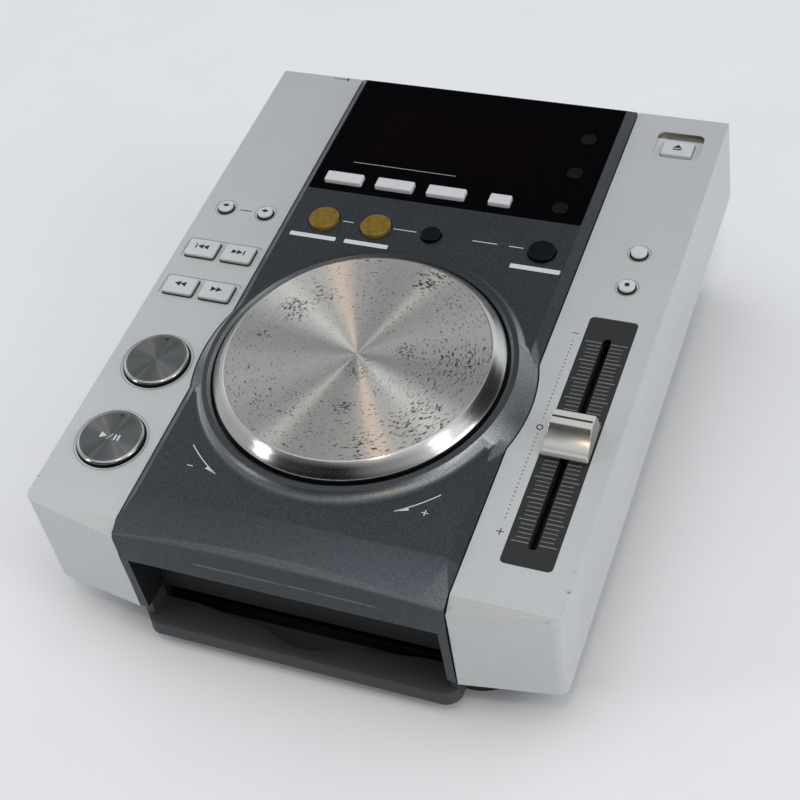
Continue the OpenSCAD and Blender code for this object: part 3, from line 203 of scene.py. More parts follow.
def add_world():
    world = bpy.data.worlds.new("studio")
    bpy.context.scene.world = world
    world.use_nodes = True
    tree = world.node_tree
    back = tree.nodes["Background"]
    back.inputs["Color"].default_value = ROOM_COLOUR
    place = tree.nodes.new("ShaderNodeTexCoord").outputs["Generated"]

    def field(azimuth, elevation, start, full, low, high):
        """low away from that direction and high in it."""
        inputs = {0: place, 1: direction(azimuth, elevation)}
        dot = add_node(tree, "ShaderNodeVectorMath", inputs, operation="DOT_PRODUCT").outputs["Value"]
        inputs = {"Value": dot, "From Min": start, "From Max": full, "To Min": low, "To Max": high}
        return add_node(tree, "ShaderNodeMapRange", inputs, interpolation_type="SMOOTHSTEP").outputs[0]

    def join(operation, a, b):
        return add_node(tree, "ShaderNodeMath", {0: a, 1: b}, operation=operation).outputs[0]

    level = None
    for azimuth, elevation, strength in ROOM_FIELDS:
        bright = field(azimuth, elevation, FIELD_START, FIELD_FULL, 0.0, strength)
        level = join("ADD", level, bright) if level else bright
    azimuth, elevation, start, full, tone = DARK_FIELD
    level = join("MULTIPLY", level, field(azimuth, elevation, start, full, 1.0, tone))
    tree.links.new(level, back.inputs["Strength"])


# ---------------- materials

SPECULAR = "Specular IOR Level"


class Finish:
    """A Principled material with helpers that add procedural nodes.

    level says that it is for pieces drawn level with the table. Their places are turned to the deck frame."""

    def __init__(self, name, colour, rough, metallic=0.0, level=False, **sockets):
        self.material = bpy.data.materials.new(name)
        self.material.use_nodes = True
        self.tree = self.material.node_tree
        self.shader = self.tree.nodes["Principled BSDF"]
        self.colour = colour
        sockets |= {"Base Color": colour, "Roughness": rough, "Metallic": metallic}
        for key, value in sockets.items():
            self.feed(key, value)
        self.place = self.new("ShaderNodeTexCoord").outputs["Object"]
        if level:
            turn = {"Vector": self.place, "Location": DECK.inverted().translation, "Rotation": (-TILT, 0, 0)}
            self.place = self.new("ShaderNodeMapping", turn, vector_type="POINT").outputs[0]

    def new(self, kind, inputs=None, **settings):
        return add_node(self.tree, kind, inputs or {}, **settings)

    def feed(self, key, source):
        connect(self.tree, source, self.shader.inputs[key])

    def noise(self, scale, detail=2.0, rough=0.5, at=None):
        inputs = {"Scale": scale, "Detail": detail, "Roughness": rough, "Vector": at or self.place}
        return self.new("ShaderNodeTexNoise", inputs).outputs["Fac"]

    def maths(self, operation, *values):
        return self.new("ShaderNodeMath", dict(enumerate(values)), operation=operation).outputs[0]

    def times(self, product, *others):
        """Product of several masks."""
        for other in others:
            product = self.maths("MULTIPLY", product, other)
        return product

    def step(self, value, start, end):
        """0 before start, 1 past end; start may be above end."""
        inputs = {"Value": value, "From Min": start, "From Max": end}
        return self.new("ShaderNodeMapRange", inputs, interpolation_type="SMOOTHSTEP").outputs[0]

    def band(self, value, low, high, soft):
        """1 between low and high, fading to 0 toward both over that length."""
        return self.times(self.step(value, low, low + soft), self.step(value, high, high - soft))

    def apart(self, x, y, x0, y0):
        """Square of the distance from a point of the plane."""
        squares = (self.maths("POWER", self.maths("SUBTRACT", a, b), 2) for a, b in ((x, x0), (y, y0)))
        return self.maths("ADD", *squares)

    def mix(self, share, a, b, blend="MIX"):
        inputs = {0: share, 6: a, 7: b}
        return self.new("ShaderNodeMix", inputs, data_type="RGBA", blend_type=blend).outputs[2]

    def tint(self, share, tone, factors):
        """The tone, multiplied by factors as far as share says."""
        return self.mix(share, tone, self.mix(1.0, tone, factors, "MULTIPLY"))

    def axes(self):
        """u, v and w in millimetres."""
        scaled = self.new("ShaderNodeVectorMath", {0: self.place, "Scale": 1 / MM}, operation="SCALE")
        return self.new("ShaderNodeSeparateXYZ", {0: scaled.outputs[0]}).outputs

    def paint(self, source):
        self.feed("Base Color", source)

    def roughness(self, source):
        self.feed("Roughness", source)

    def bump(self, height, depth):
        """Relief of that depth in mm."""
        relief = self.new("ShaderNodeBump", {"Distance": depth * MM, "Height": height})
        self.feed("Normal", relief.outputs[0])

    def shade(self, factor):
        return tuple(min(1.0, c * factor) for c in self.colour)

    def grained(self, size, contrast, cloud, depth, rough_spread=0.06):
        """Fine grain of that size in mm, with soft clouds of tone over the whole piece."""
        grain = self.noise(1 / (size * MM), 3)
        tone = self.mix(grain, self.shade(1 - contrast), self.shade(1 + contrast))
        tone = self.tint(self.step(self.noise(22, 4, 0.6), 0.3, 0.7), tone, (1 - cloud,) * 3)
        self.paint(tone)
        least = self.shader.inputs["Roughness"].default_value - rough_spread
        self.roughness(self.maths("MULTIPLY_ADD", self.noise(60, 5, 0.7), 2 * rough_spread, least))
        self.bump(grain, depth)
        return tone


CHIP_TONE = (0.10, 0.068, 0.04)
RUB_TONE = (0.30, 0.24, 0.12)
DISH_SHADE = (0.15, 0.145, 0.105)


def silver_plastic():
    """Painted plastic with metal flakes; the paint is chipped along the front edges."""
    f = Finish("silver_plastic", (0.575, 0.595, 0.60), 0.44, 0.5, level=True)
    tone = f.grained(0.65, 0.17, 0.035, 0.012, 0.05)
    u, v, w = f.axes()
    # Chips along the long outer edges, more of them toward the front
    edge = f.times(f.step(f.maths("ABSOLUTE", u), 107.4, 108.6), f.step(w, -1.9, -0.5))
    chips = f.times(edge, f.step(v, 62, 4), f.step(f.noise(230, 4, 0.75), 0.575, 0.625))
    tone = f.mix(chips, tone, CHIP_TONE)
    # Rubbed places on the front edge
    front = f.times(f.step(v, 7.0, -2.5), f.step(w, -7.5, -2.0))
    rubbed = f.times(front, f.step(f.noise(95, 5, 0.8), 0.60, 0.68), 0.55)
    tone = f.mix(rubbed, tone, RUB_TONE)
    # Shade on the rear wall of the eject key's dish
    low, high = deck_box("eject_key")
    wall = f.times(f.band(v, high.y + 0.6, high.y + 7.5, 1.0), f.step(w, -0.12, -0.5))
    wall = f.times(wall, f.band(u, low.x - 5.0, high.x + 5.0, 1.0))
    f.paint(f.mix(wall, tone, DISH_SHADE))
    return f.material


# Painted highlight: how much paler the centre panel's colour is made on the chamfers and on the collar's front and
# sides
CHAMFER_HIGHLIGHT = (1.6, 1.6, 1.55)
COLLAR_FRONT_HIGHLIGHT = (1.9, 1.85, 1.8)
COLLAR_SIDES_HIGHLIGHT = (4.5, 4.2, 3.9)
BROW_HIGHLIGHT = (1.4, 1.4, 1.4)
COLLAR_REACH = (5150, 5000)  # squared distance from the wheel's axis where the collar ends, mm2
WORN_TONE = (0.19, 0.165, 0.14)


def panel_plastic():
    """Dark blue-grey paint with fine metal flakes, rubbed along its front, with painted highlights on its slopes.
    """
    f = Finish("panel_plastic", (0.058, 0.067, 0.074), 0.36, 0.8, level=True)
    flakes = f.noise(3300, 1)
    u, v, w = f.axes()
    tone = f.mix(f.step(flakes, 0.34, 0.72), f.shade(0.62), f.shade(1.5))
    tone = f.mix(f.times(f.noise(30, 4, 0.6), 0.25), tone, f.shade(0.7))
    # Painted highlight where the surface slopes, but not on the collar behind the wheel
    inputs = {0: f.new("ShaderNodeTexCoord").outputs["Normal"], 1: direction(0, 90)}
    upward = f.new("ShaderNodeVectorMath", inputs, operation="DOT_PRODUCT")
    collar = f.step(f.apart(u, v, 0.0, JOG_V), *COLLAR_REACH)
    behind = f.times(collar, f.step(v, 112, 140))
    slope_highlight = f.times(f.step(upward.outputs["Value"], 0.99, 0.93), f.step(w, -3.0, -1.5))
    slope_highlight = f.times(slope_highlight, f.maths("SUBTRACT", 1.0, behind))
    sideways = f.step(f.maths("ABSOLUTE", u), 30, 62)
    highlight_factors = f.mix(collar, CHAMFER_HIGHLIGHT, f.mix(sideways, COLLAR_FRONT_HIGHLIGHT, COLLAR_SIDES_HIGHLIGHT))
    tone = f.tint(slope_highlight, tone, highlight_factors)
    # Painted highlight along the brow's edge, more toward the right
    brow_highlight = f.times(f.step(v, 12.9, 12.3), f.step(w, -3.6, -2.6), f.step(u, -50, 40))
    tone = f.tint(brow_highlight, tone, BROW_HIGHLIGHT)
    # A line rubbed along the front face
    line = f.times(f.band(w, -10.6, -9.5, 0.4), f.step(u, -36, -33), f.step(u, 42, 38), f.step(v, 5, 2))
    worn = f.times(line, f.step(f.noise(120, 5, 0.8), 0.34, 0.50), 0.7)
    f.paint(f.mix(worn, tone, WORN_TONE))
    f.roughness(f.maths("MULTIPLY_ADD", f.noise(70, 5, 0.7), 0.10, 0.31))
    f.bump(flakes, 0.012)
    return f.material


def plain_plastic(name, colour, rough, size, contrast, depth, **sockets):
    f = Finish(name, colour, rough, **sockets)
    f.grained(size, contrast, 0.10, depth)
    return f.material


DISPLAY_LEFT, DISPLAY_RIGHT = -47.0, 34.0
DISPLAY_TONE = (0.0022, 0.0008, 0.0009)


def window_plastic():
    """Gloss black window; the display behind it shows as a faint dark red field."""
    f = Finish("window", (0.0006, 0.0006, 0.0012), 0.07, level=True, **{SPECULAR: 0.05})
    u, v, _ = f.axes()
    low, high = deck_box("display_window")
    field = f.times(f.band(u, DISPLAY_LEFT, DISPLAY_RIGHT, 4), f.band(v, low.y + 22, high.y - 16, 3))
    f.paint(f.mix(field, f.colour, DISPLAY_TONE))
    dust = f.step(f.noise(1500, 3, 0.6), 0.66, 0.74)
    smears = f.noise(45, 4, 0.6)
    f.roughness(f.maths("ADD", f.maths("MULTIPLY_ADD", smears, 0.10, 0.03), f.times(dust, 0.25)))
    f.bump(smears, 0.004)
    return f.material


# Worn places of the wheel's face: x, y and reach in mm from its axis, and how much denser the marks lie
SCUFF_SPOTS = (
    (-35, 18, 9, 0.10),
    (-26, 28, 7, 0.08),
    (15, 45, 9, 0.10),
    (18.5, 6, 6, 0.09),
    (3, -7, 9, 0.10),
    (4, -27, 6, 0.07),
    (37, 3, 20, 0.055),
    (33, 31, 14, 0.03),
    (38, -28, 15, 0.07),
    (22, -44, 13, 0.05),
    (-12, -40, 17, 0.04),
    (-43, 3, 5, 0.05),
)
SPOT_CORE = 0.06  # share of a spot's squared reach where it is at its densest
SCUFF_TONE = (0.022, 0.020, 0.019)


def lathe_metal(name, colour, rough, anisotropy):
    """Bare metal whose highlights run round the piece's own axis."""
    f = Finish(name, colour, rough, 1.0, Anisotropic=anisotropy, **{"Anisotropic Rotation": 0.25})
    tangent = f.new("ShaderNodeTangent", direction_type="RADIAL", axis="Z")
    f.feed("Tangent", tangent.outputs[0])
    return f


def turned_metal(name, colour, rough, scuffs=0.0):
    """Metal turned on a lathe: grooves round the piece's own axis, with optional dark scuffs."""
    f = lathe_metal(name, colour, rough, 1.0)
    x, y, _ = f.axes()
    radius = f.maths("SQRT", f.maths("ADD", f.times(x, x), f.times(y, y)))
    not_zero = f.maths("MAXIMUM", radius, 0.5)
    across = f.maths("DIVIDE", x, not_zero)
    along = f.maths("DIVIDE", y, not_zero)

    def polar(turns, rings, shift=0.0):
        """Noise space whose spots are long round the axis and narrow across it."""
        spot = (f.maths("MULTIPLY_ADD", across, turns, shift), f.times(along, turns), f.times(radius, rings))
        return f.new("ShaderNodeCombineXYZ", dict(enumerate(spot))).outputs[0]

    grooves = f.noise(1.0, 3, 0.7, polar(1.3, 5.0))
    tone = f.mix(grooves, f.shade(0.80), f.shade(1.16))
    blasted = f.step(f.noise(2600, 2, 0.6), 0.42, 0.62)
    tone = f.mix(blasted, f.mix(1.0, tone, (0.90,) * 3, "MULTIPLY"), tone)
    # Lighter radial streaks: partly turning marks, partly a painted sheen standing in for the fans of the brushed
    # highlight
    streaks_and_sheen = f.noise(1.0, 4, 0.7, polar(9.0, 0.03, 7.0))
    tone = f.mix(f.times(f.step(streaks_and_sheen, 0.35, 0.7), 0.35), tone, f.shade(1.10))
    if scuffs:
        # Short dark marks along the grooves, dense in a few places and thin in the others
        level = f.maths("MULTIPLY_ADD", f.noise(45, 3, 0.6), -0.16, 0.70)
        for spot_x, spot_y, reach, denser in SCUFF_SPOTS:
            square = reach * reach
            near = f.step(f.apart(x, y, spot_x, spot_y), square, SPOT_CORE * square)
            level = f.maths("MULTIPLY_ADD", near, -denser, level)
        marks = f.noise(1.0, 3, 0.70, polar(20.0, 1.35, 3.0))
        dark = f.step(f.maths("SUBTRACT", marks, level), 0.0, 0.025)
        specks = f.step(f.noise(1300, 2, 0.5), 0.715, 0.745)
        dark = f.maths("MAXIMUM", dark, f.times(specks, 0.6))
        tone = f.mix(f.times(dark, scuffs), tone, SCUFF_TONE)
    f.paint(tone)
    f.roughness(f.maths("MULTIPLY_ADD", grooves, 0.16, rough - 0.08))
    f.bump(grooves, 0.006)
    return f.material


def polished_metal(name, colour, rough, anisotropy=0.35):
    f = lathe_metal(name, colour, rough, anisotropy)
    f.grained(0.5, 0.05, 0.08, 0.003, 0.03)
    return f.material


def metal(name, colour, rough, size=0.8, depth=0.01):
    f = Finish(name, colour, rough, 1.0)
    f.grained(size, 0.10, 0.12, depth, 0.10)
    return f.material


def amber_plastic():
    """Mustard plastic, mottled and a little dirty."""
    f = Finish("key_amber", (0.19, 0.118, 0.009), 0.34, **{SPECULAR: 0.35})
    mottled = f.noise(420, 5, 0.8)
    tone = f.mix(f.step(mottled, 0.38, 0.66), f.shade(0.72), f.shade(1.22))
    dirt = f.times(f.step(f.noise(900, 3, 0.7), 0.60, 0.72), 0.35)
    f.paint(f.mix(dirt, tone, (0.10, 0.07, 0.02)))
    f.bump(mottled, 0.03)
    return f.material


def ink(name, colour, rough=0.5):
    """Screen-printed ink, a little thin in places."""
    f = Finish(name, colour, rough)
    f.grained(0.25, 0.14, 0.06, 0.004)
    return f.material


def board_green():
    """Green circuit board with a pattern of tracks."""
    f = Finish("board", (0.018, 0.085, 0.035), 0.38)
    inputs = {"Vector": f.place, "Scale": 260}
    inputs |= {"Color1": f.shade(0.85), "Color2": f.shade(1.2), "Mortar": f.shade(1.7)}
    tracks = f.new("ShaderNodeTexBrick", inputs, offset=0.37)
    f.paint(f.mix(f.noise(300, 4), tracks.outputs["Color"], f.shade(0.8)))
    f.bump(tracks.outputs["Fac"], 0.03)
    return f.material


def floor_paper():
    f = Finish("floor_paper", (0.83, 0.845, 0.87), 0.75, **{SPECULAR: 0.15})
    f.grained(1.2, 0.012, 0.012, 0.02)
    return f.material


PLASTICS = {
    # colour, roughness, grain mm, contrast, bump mm
    "black_plastic": ((0.0085, 0.0095, 0.0105), 0.52, 0.30, 0.45, 0.02),
    "foot_rubber": ((0.012, 0.012, 0.0125), 0.75, 0.40, 0.30, 0.03),
    "key_silver": ((0.575, 0.60, 0.625), 0.34, 0.35, 0.07, 0.008),
    # The next two are painted shade: on the keys' sides, and at their foot together with some dirt
    "key_side": ((0.30, 0.305, 0.28), 0.45, 0.30, 0.20, 0.010),
    "key_grime": ((0.035, 0.034, 0.028), 0.60, 0.30, 0.30, 0.010),
    "key_white": ((0.60, 0.62, 0.64), 0.28, 0.35, 0.04, 0.005),
    "shelf_plastic": ((0.033, 0.038, 0.042), 0.52, 0.30, 0.40, 0.02),
    "slot_plastic": ((0.0025, 0.0028, 0.0034), 0.62, 0.30, 0.40, 0.02),
    "gear_plastic": ((0.62, 0.58, 0.46), 0.42, 0.30, 0.06, 0.010),
    "roller_rubber": ((0.03, 0.03, 0.03), 0.80, 0.25, 0.30, 0.03),
    "cap_pale": ((0.56, 0.56, 0.535), 0.36, 0.35, 0.06, 0.006),
}
METALS = {
    # colour, roughness, and grain and bump in mm where they aren't the usual ones
    "chassis_steel": ((0.045, 0.046, 0.05), 0.48),
    "plain_steel": ((0.52, 0.52, 0.51), 0.34),
    "screw_steel": ((0.10, 0.10, 0.105), 0.38),
    "brass": ((0.55, 0.42, 0.19), 0.28),
    "cap_silver": ((0.46, 0.455, 0.42), 0.30, 0.35, 0.006),
}
INKS = {
    # colour, roughness where it isn't the usual one
    "lamp_lens": ((0.022, 0.014, 0.017), 0.3),
    "ink_black": ((0.009, 0.009, 0.010), 0.6),
    "ink_grey": ((0.20, 0.205, 0.21),),
    "ink_white": ((0.60, 0.62, 0.64),),
    "ink_pale": ((0.30, 0.31, 0.32),),
    # groove_shade is painted shade: dark lines for shaded recess walls and hole edges
    "groove_shade": ((0.12, 0.122, 0.118), 0.7),
    "ink_line": ((0.075, 0.076, 0.078), 0.6),
}


def make_materials():
    made = {"silver_plastic": silver_plastic(), "panel_plastic": panel_plastic(), "window": window_plastic()}
    for make, table in ((plain_plastic, PLASTICS), (metal, METALS), (ink, INKS)):
        for name, values in table.items():
            made[name] = make(name, *values)
    made["key_black"] = plain_plastic(
        "key_black", (0.0025, 0.0028, 0.0035), 0.36, 0.30, 0.30, 0.010, **{SPECULAR: 0.12}
    )
    made["key_amber"] = amber_plastic()
    made["board"] = board_green()
    made["spun_metal"] = turned_metal("spun_metal", (0.62, 0.60, 0.565), 0.46, scuffs=0.9)
    made["rim_metal"] = polished_metal("rim_metal", (0.50, 0.49, 0.475), 0.19, 0.6)
    made["dark_spun_metal"] = turned_metal("dark_spun_metal", (0.165, 0.17, 0.17), 0.36)
    made["dark_rim_metal"] = polished_metal("dark_rim_metal", (0.40, 0.40, 0.39), 0.17)
    return made


MATERIALS = make_materials()
SLOT_OF = {part["node"]: part["material_slot"] for part in frame["record"]["subparts"]}

# ---------------- building pieces


def finish_piece(name, mesh_data, finishes, body, node=None, smooth=35, bevel=None, level=False):
    """Puts a bmesh, drawn in deck millimetres, into the scene as a piece that rides on a body.

    A level piece has its axes along the table's, so that its own box is no larger than the piece."""
    bmesh.ops.recalc_face_normals(mesh_data, faces=mesh_data.faces)
    mesh = bpy.data.meshes.new(name)
    scale = Matrix.Scale(MM, 4)
    mesh_data.transform(DECK @ scale if level else scale)
    mesh_data.to_mesh(mesh)
    mesh_data.free()
    for finish in finishes:
        mesh.materials.append(MATERIALS[finish])
    mesh.polygons.foreach_set("use_smooth", [True] * len(mesh.polygons))
    mesh.set_sharp_from_angle(angle=radians(smooth))
    piece = put(name, mesh)
    if not level:
        piece.matrix_world = DECK
    if bevel:
        modifier = piece.modifiers.new("rounding", "BEVEL")
        modifier.width = bevel * MM
        modifier.segments = 2
        modifier.limit_method = "WEIGHT"
        modifier.miter_outer = "MITER_ARC"
    if node:
        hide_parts(node)
    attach(piece, body)
    return piece


def move_origin(piece, u, v):
    """Puts the piece's own origin at a point of the deck, so that its turned finish is centred there."""
    shift = Vector((u, v, 0.0)) * MM
    piece.data.transform(Matrix.Translation(-shift))
    piece.matrix_world = piece.matrix_world @ Matrix.Translation(shift)


def ring(bm, points):
    return [bm.verts.new(p) for p in points]


def flat(bm, loop, index=0):
    """One face through those vertices, with that material."""
    bm.faces.new(loop).material_index = index


def bridge(bm, low, high, index=0):
    """Joins two loops with equal numbers of vertices."""
    n = len(low)
    for i in range(n):
        flat(bm, (low[i], low[(i + 1) % n], high[(i + 1) % n], high[i]), index)


def circle(u, v, r, n):
    return [(u + r * cos(2 * pi * i / n), v + r * sin(2 * pi * i / n)) for i in range(n)]


def rounded(u, v, width, depth, r, n=6):
    """Outline of a rectangle with round corners."""
    points = []
    for cx, cy, start in (
        (width / 2 - r, depth / 2 - r, 0),
        (-width / 2 + r, depth / 2 - r, 90),
        (-width / 2 + r, -depth / 2 + r, 180),
        (width / 2 - r, -depth / 2 + r, 270),
    ):
        for i in range(n + 1):
            a = radians(start + 90 * i / n)
            points.append((u + cx + r * cos(a), v + cy + r * sin(a)))
    return points


def lathe(bm, u, v, profile, n):
    """Solid of revolution about a deck normal. profile is (r, w, material) from the axis back to the axis."""
    loops = []
    for r, w, _ in profile:
        places = circle(u, v, r, n) if r else [(u, v)]
        loops.append(ring(bm, [(a, b, w) for a, b in places]))
    for a, b, (_, _, index) in zip(loops, loops[1:], profile[1:]):
        if len(a) == len(b):
            bridge(bm, a, b, index)
            continue
        (tip,), loop = (a, b) if len(a) == 1 else (b, a)
        for i in range(n):
            flat(bm, (tip, loop[i], loop[(i + 1) % n]), index)


def stack(bm, levels):
    """Closed solid through outlines with equal numbers of points. levels is [(outline, w, material)]."""
    loops = [(ring(bm, [(a, b, w) for a, b in outline]), index) for outline, w, index in levels]
    flat(bm, *loops[0])
    for (a, _), (b, index) in zip(loops, loops[1:]):
        bridge(bm, a, b, index)
    flat(bm, *loops[-1])


def prism(bm, outline, w0, w1):
    stack(bm, [(outline, w0, 0), (outline, w1, 0)])


def quarter(r, n=4):
    """Inset and drop of the points of a rounded edge of radius r, from the side to the top."""
    return [(r * (1 - cos(radians(90 * i / n))), r * (1 - sin(radians(90 * i / n)))) for i in range(n + 1)]


INK_IN, INK_OUT = 0.04, 0.035  # how far a print reaches into its surface and stands out of it


def print_piece(name, finish, body, shapes, w):
    """Flat ink on a surface at level w; shapes are outlines."""
    bm = bmesh.new()
    for outline in shapes:
        prism(bm, outline, w - INK_IN, w + INK_OUT)
    finish_piece(name, bm, [finish], body)


def bar(u0, v0, u1, v1, width):
    """Outline of a straight line from one point to the other."""
    du, dv = u1 - u0, v1 - v0
    length = hypot(du, dv)
    a, b = -dv / length * width / 2, du / length * width / 2
    return [(u0 + a, v0 + b), (u1 + a, v1 + b), (u1 - a, v1 - b), (u0 - a, v0 - b)]


def around(r, angle):
    """The point at that angle, in degrees, and distance."""
    return r * cos(radians(angle)), r * sin(radians(angle))


def arc_band(u, v, r, width, a0, a1, n=24):
    """Outlines of a thin arc, as short quadrilaterals."""
    inner, outer = r - width / 2, r + width / 2
    out = []
    for i in range(n):
        p, q = (a0 + (a1 - a0) * k / n for k in (i, i + 1))
        corners = (around(inner, p), around(outer, p), around(outer, q), around(inner, q))
        out.append([(u + x, v + y) for x, y in corners])
    return out


def triangle(u, v, size, turn):
    """Arrow head of that height whose tip points along turn, in degrees."""
    a = radians(turn)
    half = size * 0.52
    points = []
    for x, y in ((size / 2, 0), (-size / 2, half), (-size / 2, -half)):
        points.append((u + x * cos(a) - y * sin(a), v + x * sin(a) + y * cos(a)))
    return points


# ---------------- CAD shells with rounded edges

WELD = 0.002  # mm; points nearer than this are one
FLAT_WITHIN = 0.4  # degrees; faces that differ by less are joined
SHARP = 34  # degrees; edges that turn outward by more are rounded
LONG_EDGE_TURN = 12  # degrees; least turn of an edge with the larger rounding
ON_EDGE = 0.3  # mm


def dress(node, finish, edge, outer_edge, outer=None):
    """A copy of a CAD node with its flat faces joined and its outward edges rounded by edge.

    outer(a, b) says which edges, given by their ends in deck millimetres, are rounded by outer_edge."""
    bm = bmesh.new()
    bm.from_mesh(NODES[node].data)
    bm.transform(TO_DECK)
    bmesh.ops.remove_doubles(bm, verts=bm.verts, dist=WELD)
    bmesh.ops.dissolve_limit(
        bm, angle_limit=radians(FLAT_WITHIN), verts=bm.verts, edges=bm.edges, use_dissolve_boundaries=False
    )
    weight = bm.edges.layers.float.new("bevel_weight_edge")
    for e in bm.edges:
        if len(e.link_faces) != 2:
            continue
        angle = e.calc_face_angle_signed(0.0)
        if outer and abs(angle) > radians(LONG_EDGE_TURN) and outer(e.verts[0].co, e.verts[1].co):
            e[weight] = 1.0
        elif angle > radians(SHARP):
            e[weight] = edge / outer_edge
    name, slot = f"{node}_shell", SLOT_OF.get(node)
    piece = finish_piece(name, bm, [finish], "case", node, smooth=SHARP, bevel=outer_edge, level=True)
    normals = piece.modifiers.new("even_normals", "WEIGHTED_NORMAL")
    normals.keep_sharp = True


COVER_SIDE = deck_box("cover_right")[1].x


def cover_outer(a, b):
    """The long outer edge of a silver cover's top."""
    return all(abs(abs(p.x) - COVER_SIDE) < ON_EDGE and abs(p.z) < ON_EDGE for p in (a, b))


# node, finish, rounding in mm, and the bevel's width that it is a share of
SHELLS = (
    ("centre_panel", "panel_plastic", 0.3, 0.5),
    ("display_window", "window", 0.12, 0.5),
    ("slot_bezel", "slot_plastic", 0.2, 0.5),
    ("rear_panel", "black_plastic", 0.15, 0.5),
    ("fader_plate", "black_plastic", 0.12, 0.5),
    ("bottom_chassis", "chassis_steel", 0.3, 0.8),
    ("rubber_feet", "foot_rubber", 0.5, 0.8),
    ("ac_inlet", "black_plastic", 0.2, 0.5),
)


def dress_case():
    for node in ("cover_left", "cover_right"):
        dress(node, "silver_plastic", 0.3, 1.6, cover_outer)
    for shell in SHELLS:
        dress(*shell)


# ---------------- the jog wheel

FACE_R, FACE_W = 54.4, 13.7  # radius and height of the face
RIM_R, RIM_W = 59.3, 8.6  # radius of the rim and height of its upper edge
RIM_SOFT = 0.35  # rounding of the rim's edges
WHEEL_WALL = 2.6
HUB_R, HUB_LOW = 9.0, 6.7
BORE_R, BORE_TOP = 4.2, FACE_W - 1.0


def jog_wheel():
    low = deck_box("jog_platter")[0].z
    inside = FACE_W - WHEEL_WALL
    profile = [(r, FACE_W, 0) for r in (0, 6, 14, 24, 34, 44, 50, FACE_R - 0.75)]
    section = [(FACE_R - 0.4, FACE_W - 0.02), (FACE_R - 0.12, FACE_W - 0.12), (FACE_R + 0.12, FACE_W - 0.34)]
    for t in (0.12, 0.4, 0.7, 0.94):
        section.append((FACE_R + (RIM_R - FACE_R) * t, FACE_W + (RIM_W - FACE_W) * t))
    section += [(RIM_R - 0.06, RIM_W - 0.05), (RIM_R, RIM_W - RIM_SOFT), (RIM_R, low + RIM_SOFT)]
    section += [(RIM_R - 0.1, low + 0.1), (RIM_R - RIM_SOFT, low), (RIM_R - WHEEL_WALL, low)]
    section += [(RIM_R - WHEEL_WALL, RIM_W - 1.3), (FACE_R - 1.3, inside)]
    section += [(HUB_R, inside), (HUB_R, HUB_LOW), (BORE_R, HUB_LOW), (BORE_R, BORE_TOP), (0, BORE_TOP)]
    profile += [(r, w, 1) for r, w in section]
    bm = bmesh.new()
    lathe(bm, 0, JOG_V, profile, 192)
    name, finishes = "jog_platter_metal", ["spun_metal", "rim_metal"]
    piece = finish_piece(name, bm, finishes, "jog_wheel", "jog_platter", smooth=50)
    move_origin(piece, 0, JOG_V)


# ---------------- keys and buttons

FLANGE = 1.2  # thickness of a key's flange
FLANGE_OVERLAP = 0.1  # how far the plunger reaches into it
PLUNGER_R = 1.6
KEY_ROUND = 0.7
KEY_CORNER = 1.2
LEAST_CORNER = 0.15
NOT_LEVEL = 0.3  # mm; sections nearer than this to a key's ends, or to its width, aren't its flange
ON_LEVEL = 0.02  # mm


def level_outline(node, w):
    """Width and depth of a CAD node's section through its points at level w."""
    there = [p for p in deck_points(node) if abs(p.z - w) < ON_LEVEL]
    return tuple(max(p[i] for p in there) - min(p[i] for p in there) for i in (0, 1))


def foot_outline(node):
    """(flange width, flange depth, flange top, key width, key depth) of a key's CAD node."""
    low, high = deck_box(node)
    width, depth = level_outline(node, high.z)
    levels = {round(p.z, 2) for p in deck_points(node)}
    inner = [w for w in levels if low.z + NOT_LEVEL < w < high.z - NOT_LEVEL]
    flange_top = max(w for w in inner if level_outline(node, w)[0] > width + NOT_LEVEL)
    return (*level_outline(node, flange_top), flange_top, width, depth)


def key_piece(node, bm, finishes, smooth):
    return finish_piece(f"{node}_cap", bm, finishes, f"{node}_body", node, smooth=smooth)


def box_key(node, finish, round_top=KEY_ROUND, corner=KEY_CORNER, crown=0.0, shaded_sides=False):
    """A press key with rounded top edges, with painted shade on its side and foot if wanted."""
    low, high = deck_box(node)
    u, v = middle(node)
    flange_w, flange_d, under, width, depth = foot_outline(node)
    flange = rounded(u, v, flange_w, flange_d, corner)
    outline = rounded(u, v, width, depth, corner)
    levels = [(flange, under - FLANGE, 0), (flange, under, 0), (outline, under + 0.01, 0)]
    # Painted shade: a dark band at the foot, with some dirt, and a darker side up to the top's rounding
    if shaded_sides:
        levels += [(outline, 0.0, 2), (outline, 0.45, 2)]
    for inset, drop in quarter(round_top):
        smaller = rounded(u, v, width - 2 * inset, depth - 2 * inset, max(corner - inset, LEAST_CORNER))
        levels.append((smaller, high.z - drop - crown, 1 if shaded_sides and not inset else 0))
    if crown:
        inset = round_top + 1.2
        levels.append((rounded(u, v, width - 2 * inset, depth - 2 * inset, LEAST_CORNER), high.z, 0))
    bm = bmesh.new()
    stack(bm, levels)
    prism(bm, circle(u, v, PLUNGER_R, 24), low.z, under - FLANGE + FLANGE_OVERLAP)
    key_piece(node, bm, [finish, "key_side", "key_grime"] if shaded_sides else [finish], 40)


def round_foot(r, under, flange_d, low, index):
    """The profile of a round key's foot: its side's lower end, its flange and its plunger."""
    bottom = under - FLANGE
    section = [(r, under), (flange_d / 2, under), (flange_d / 2, bottom)]
    section += [(PLUNGER_R, bottom), (PLUNGER_R, low), (0, low)]
    return [(r, w, index) for r, w in section]


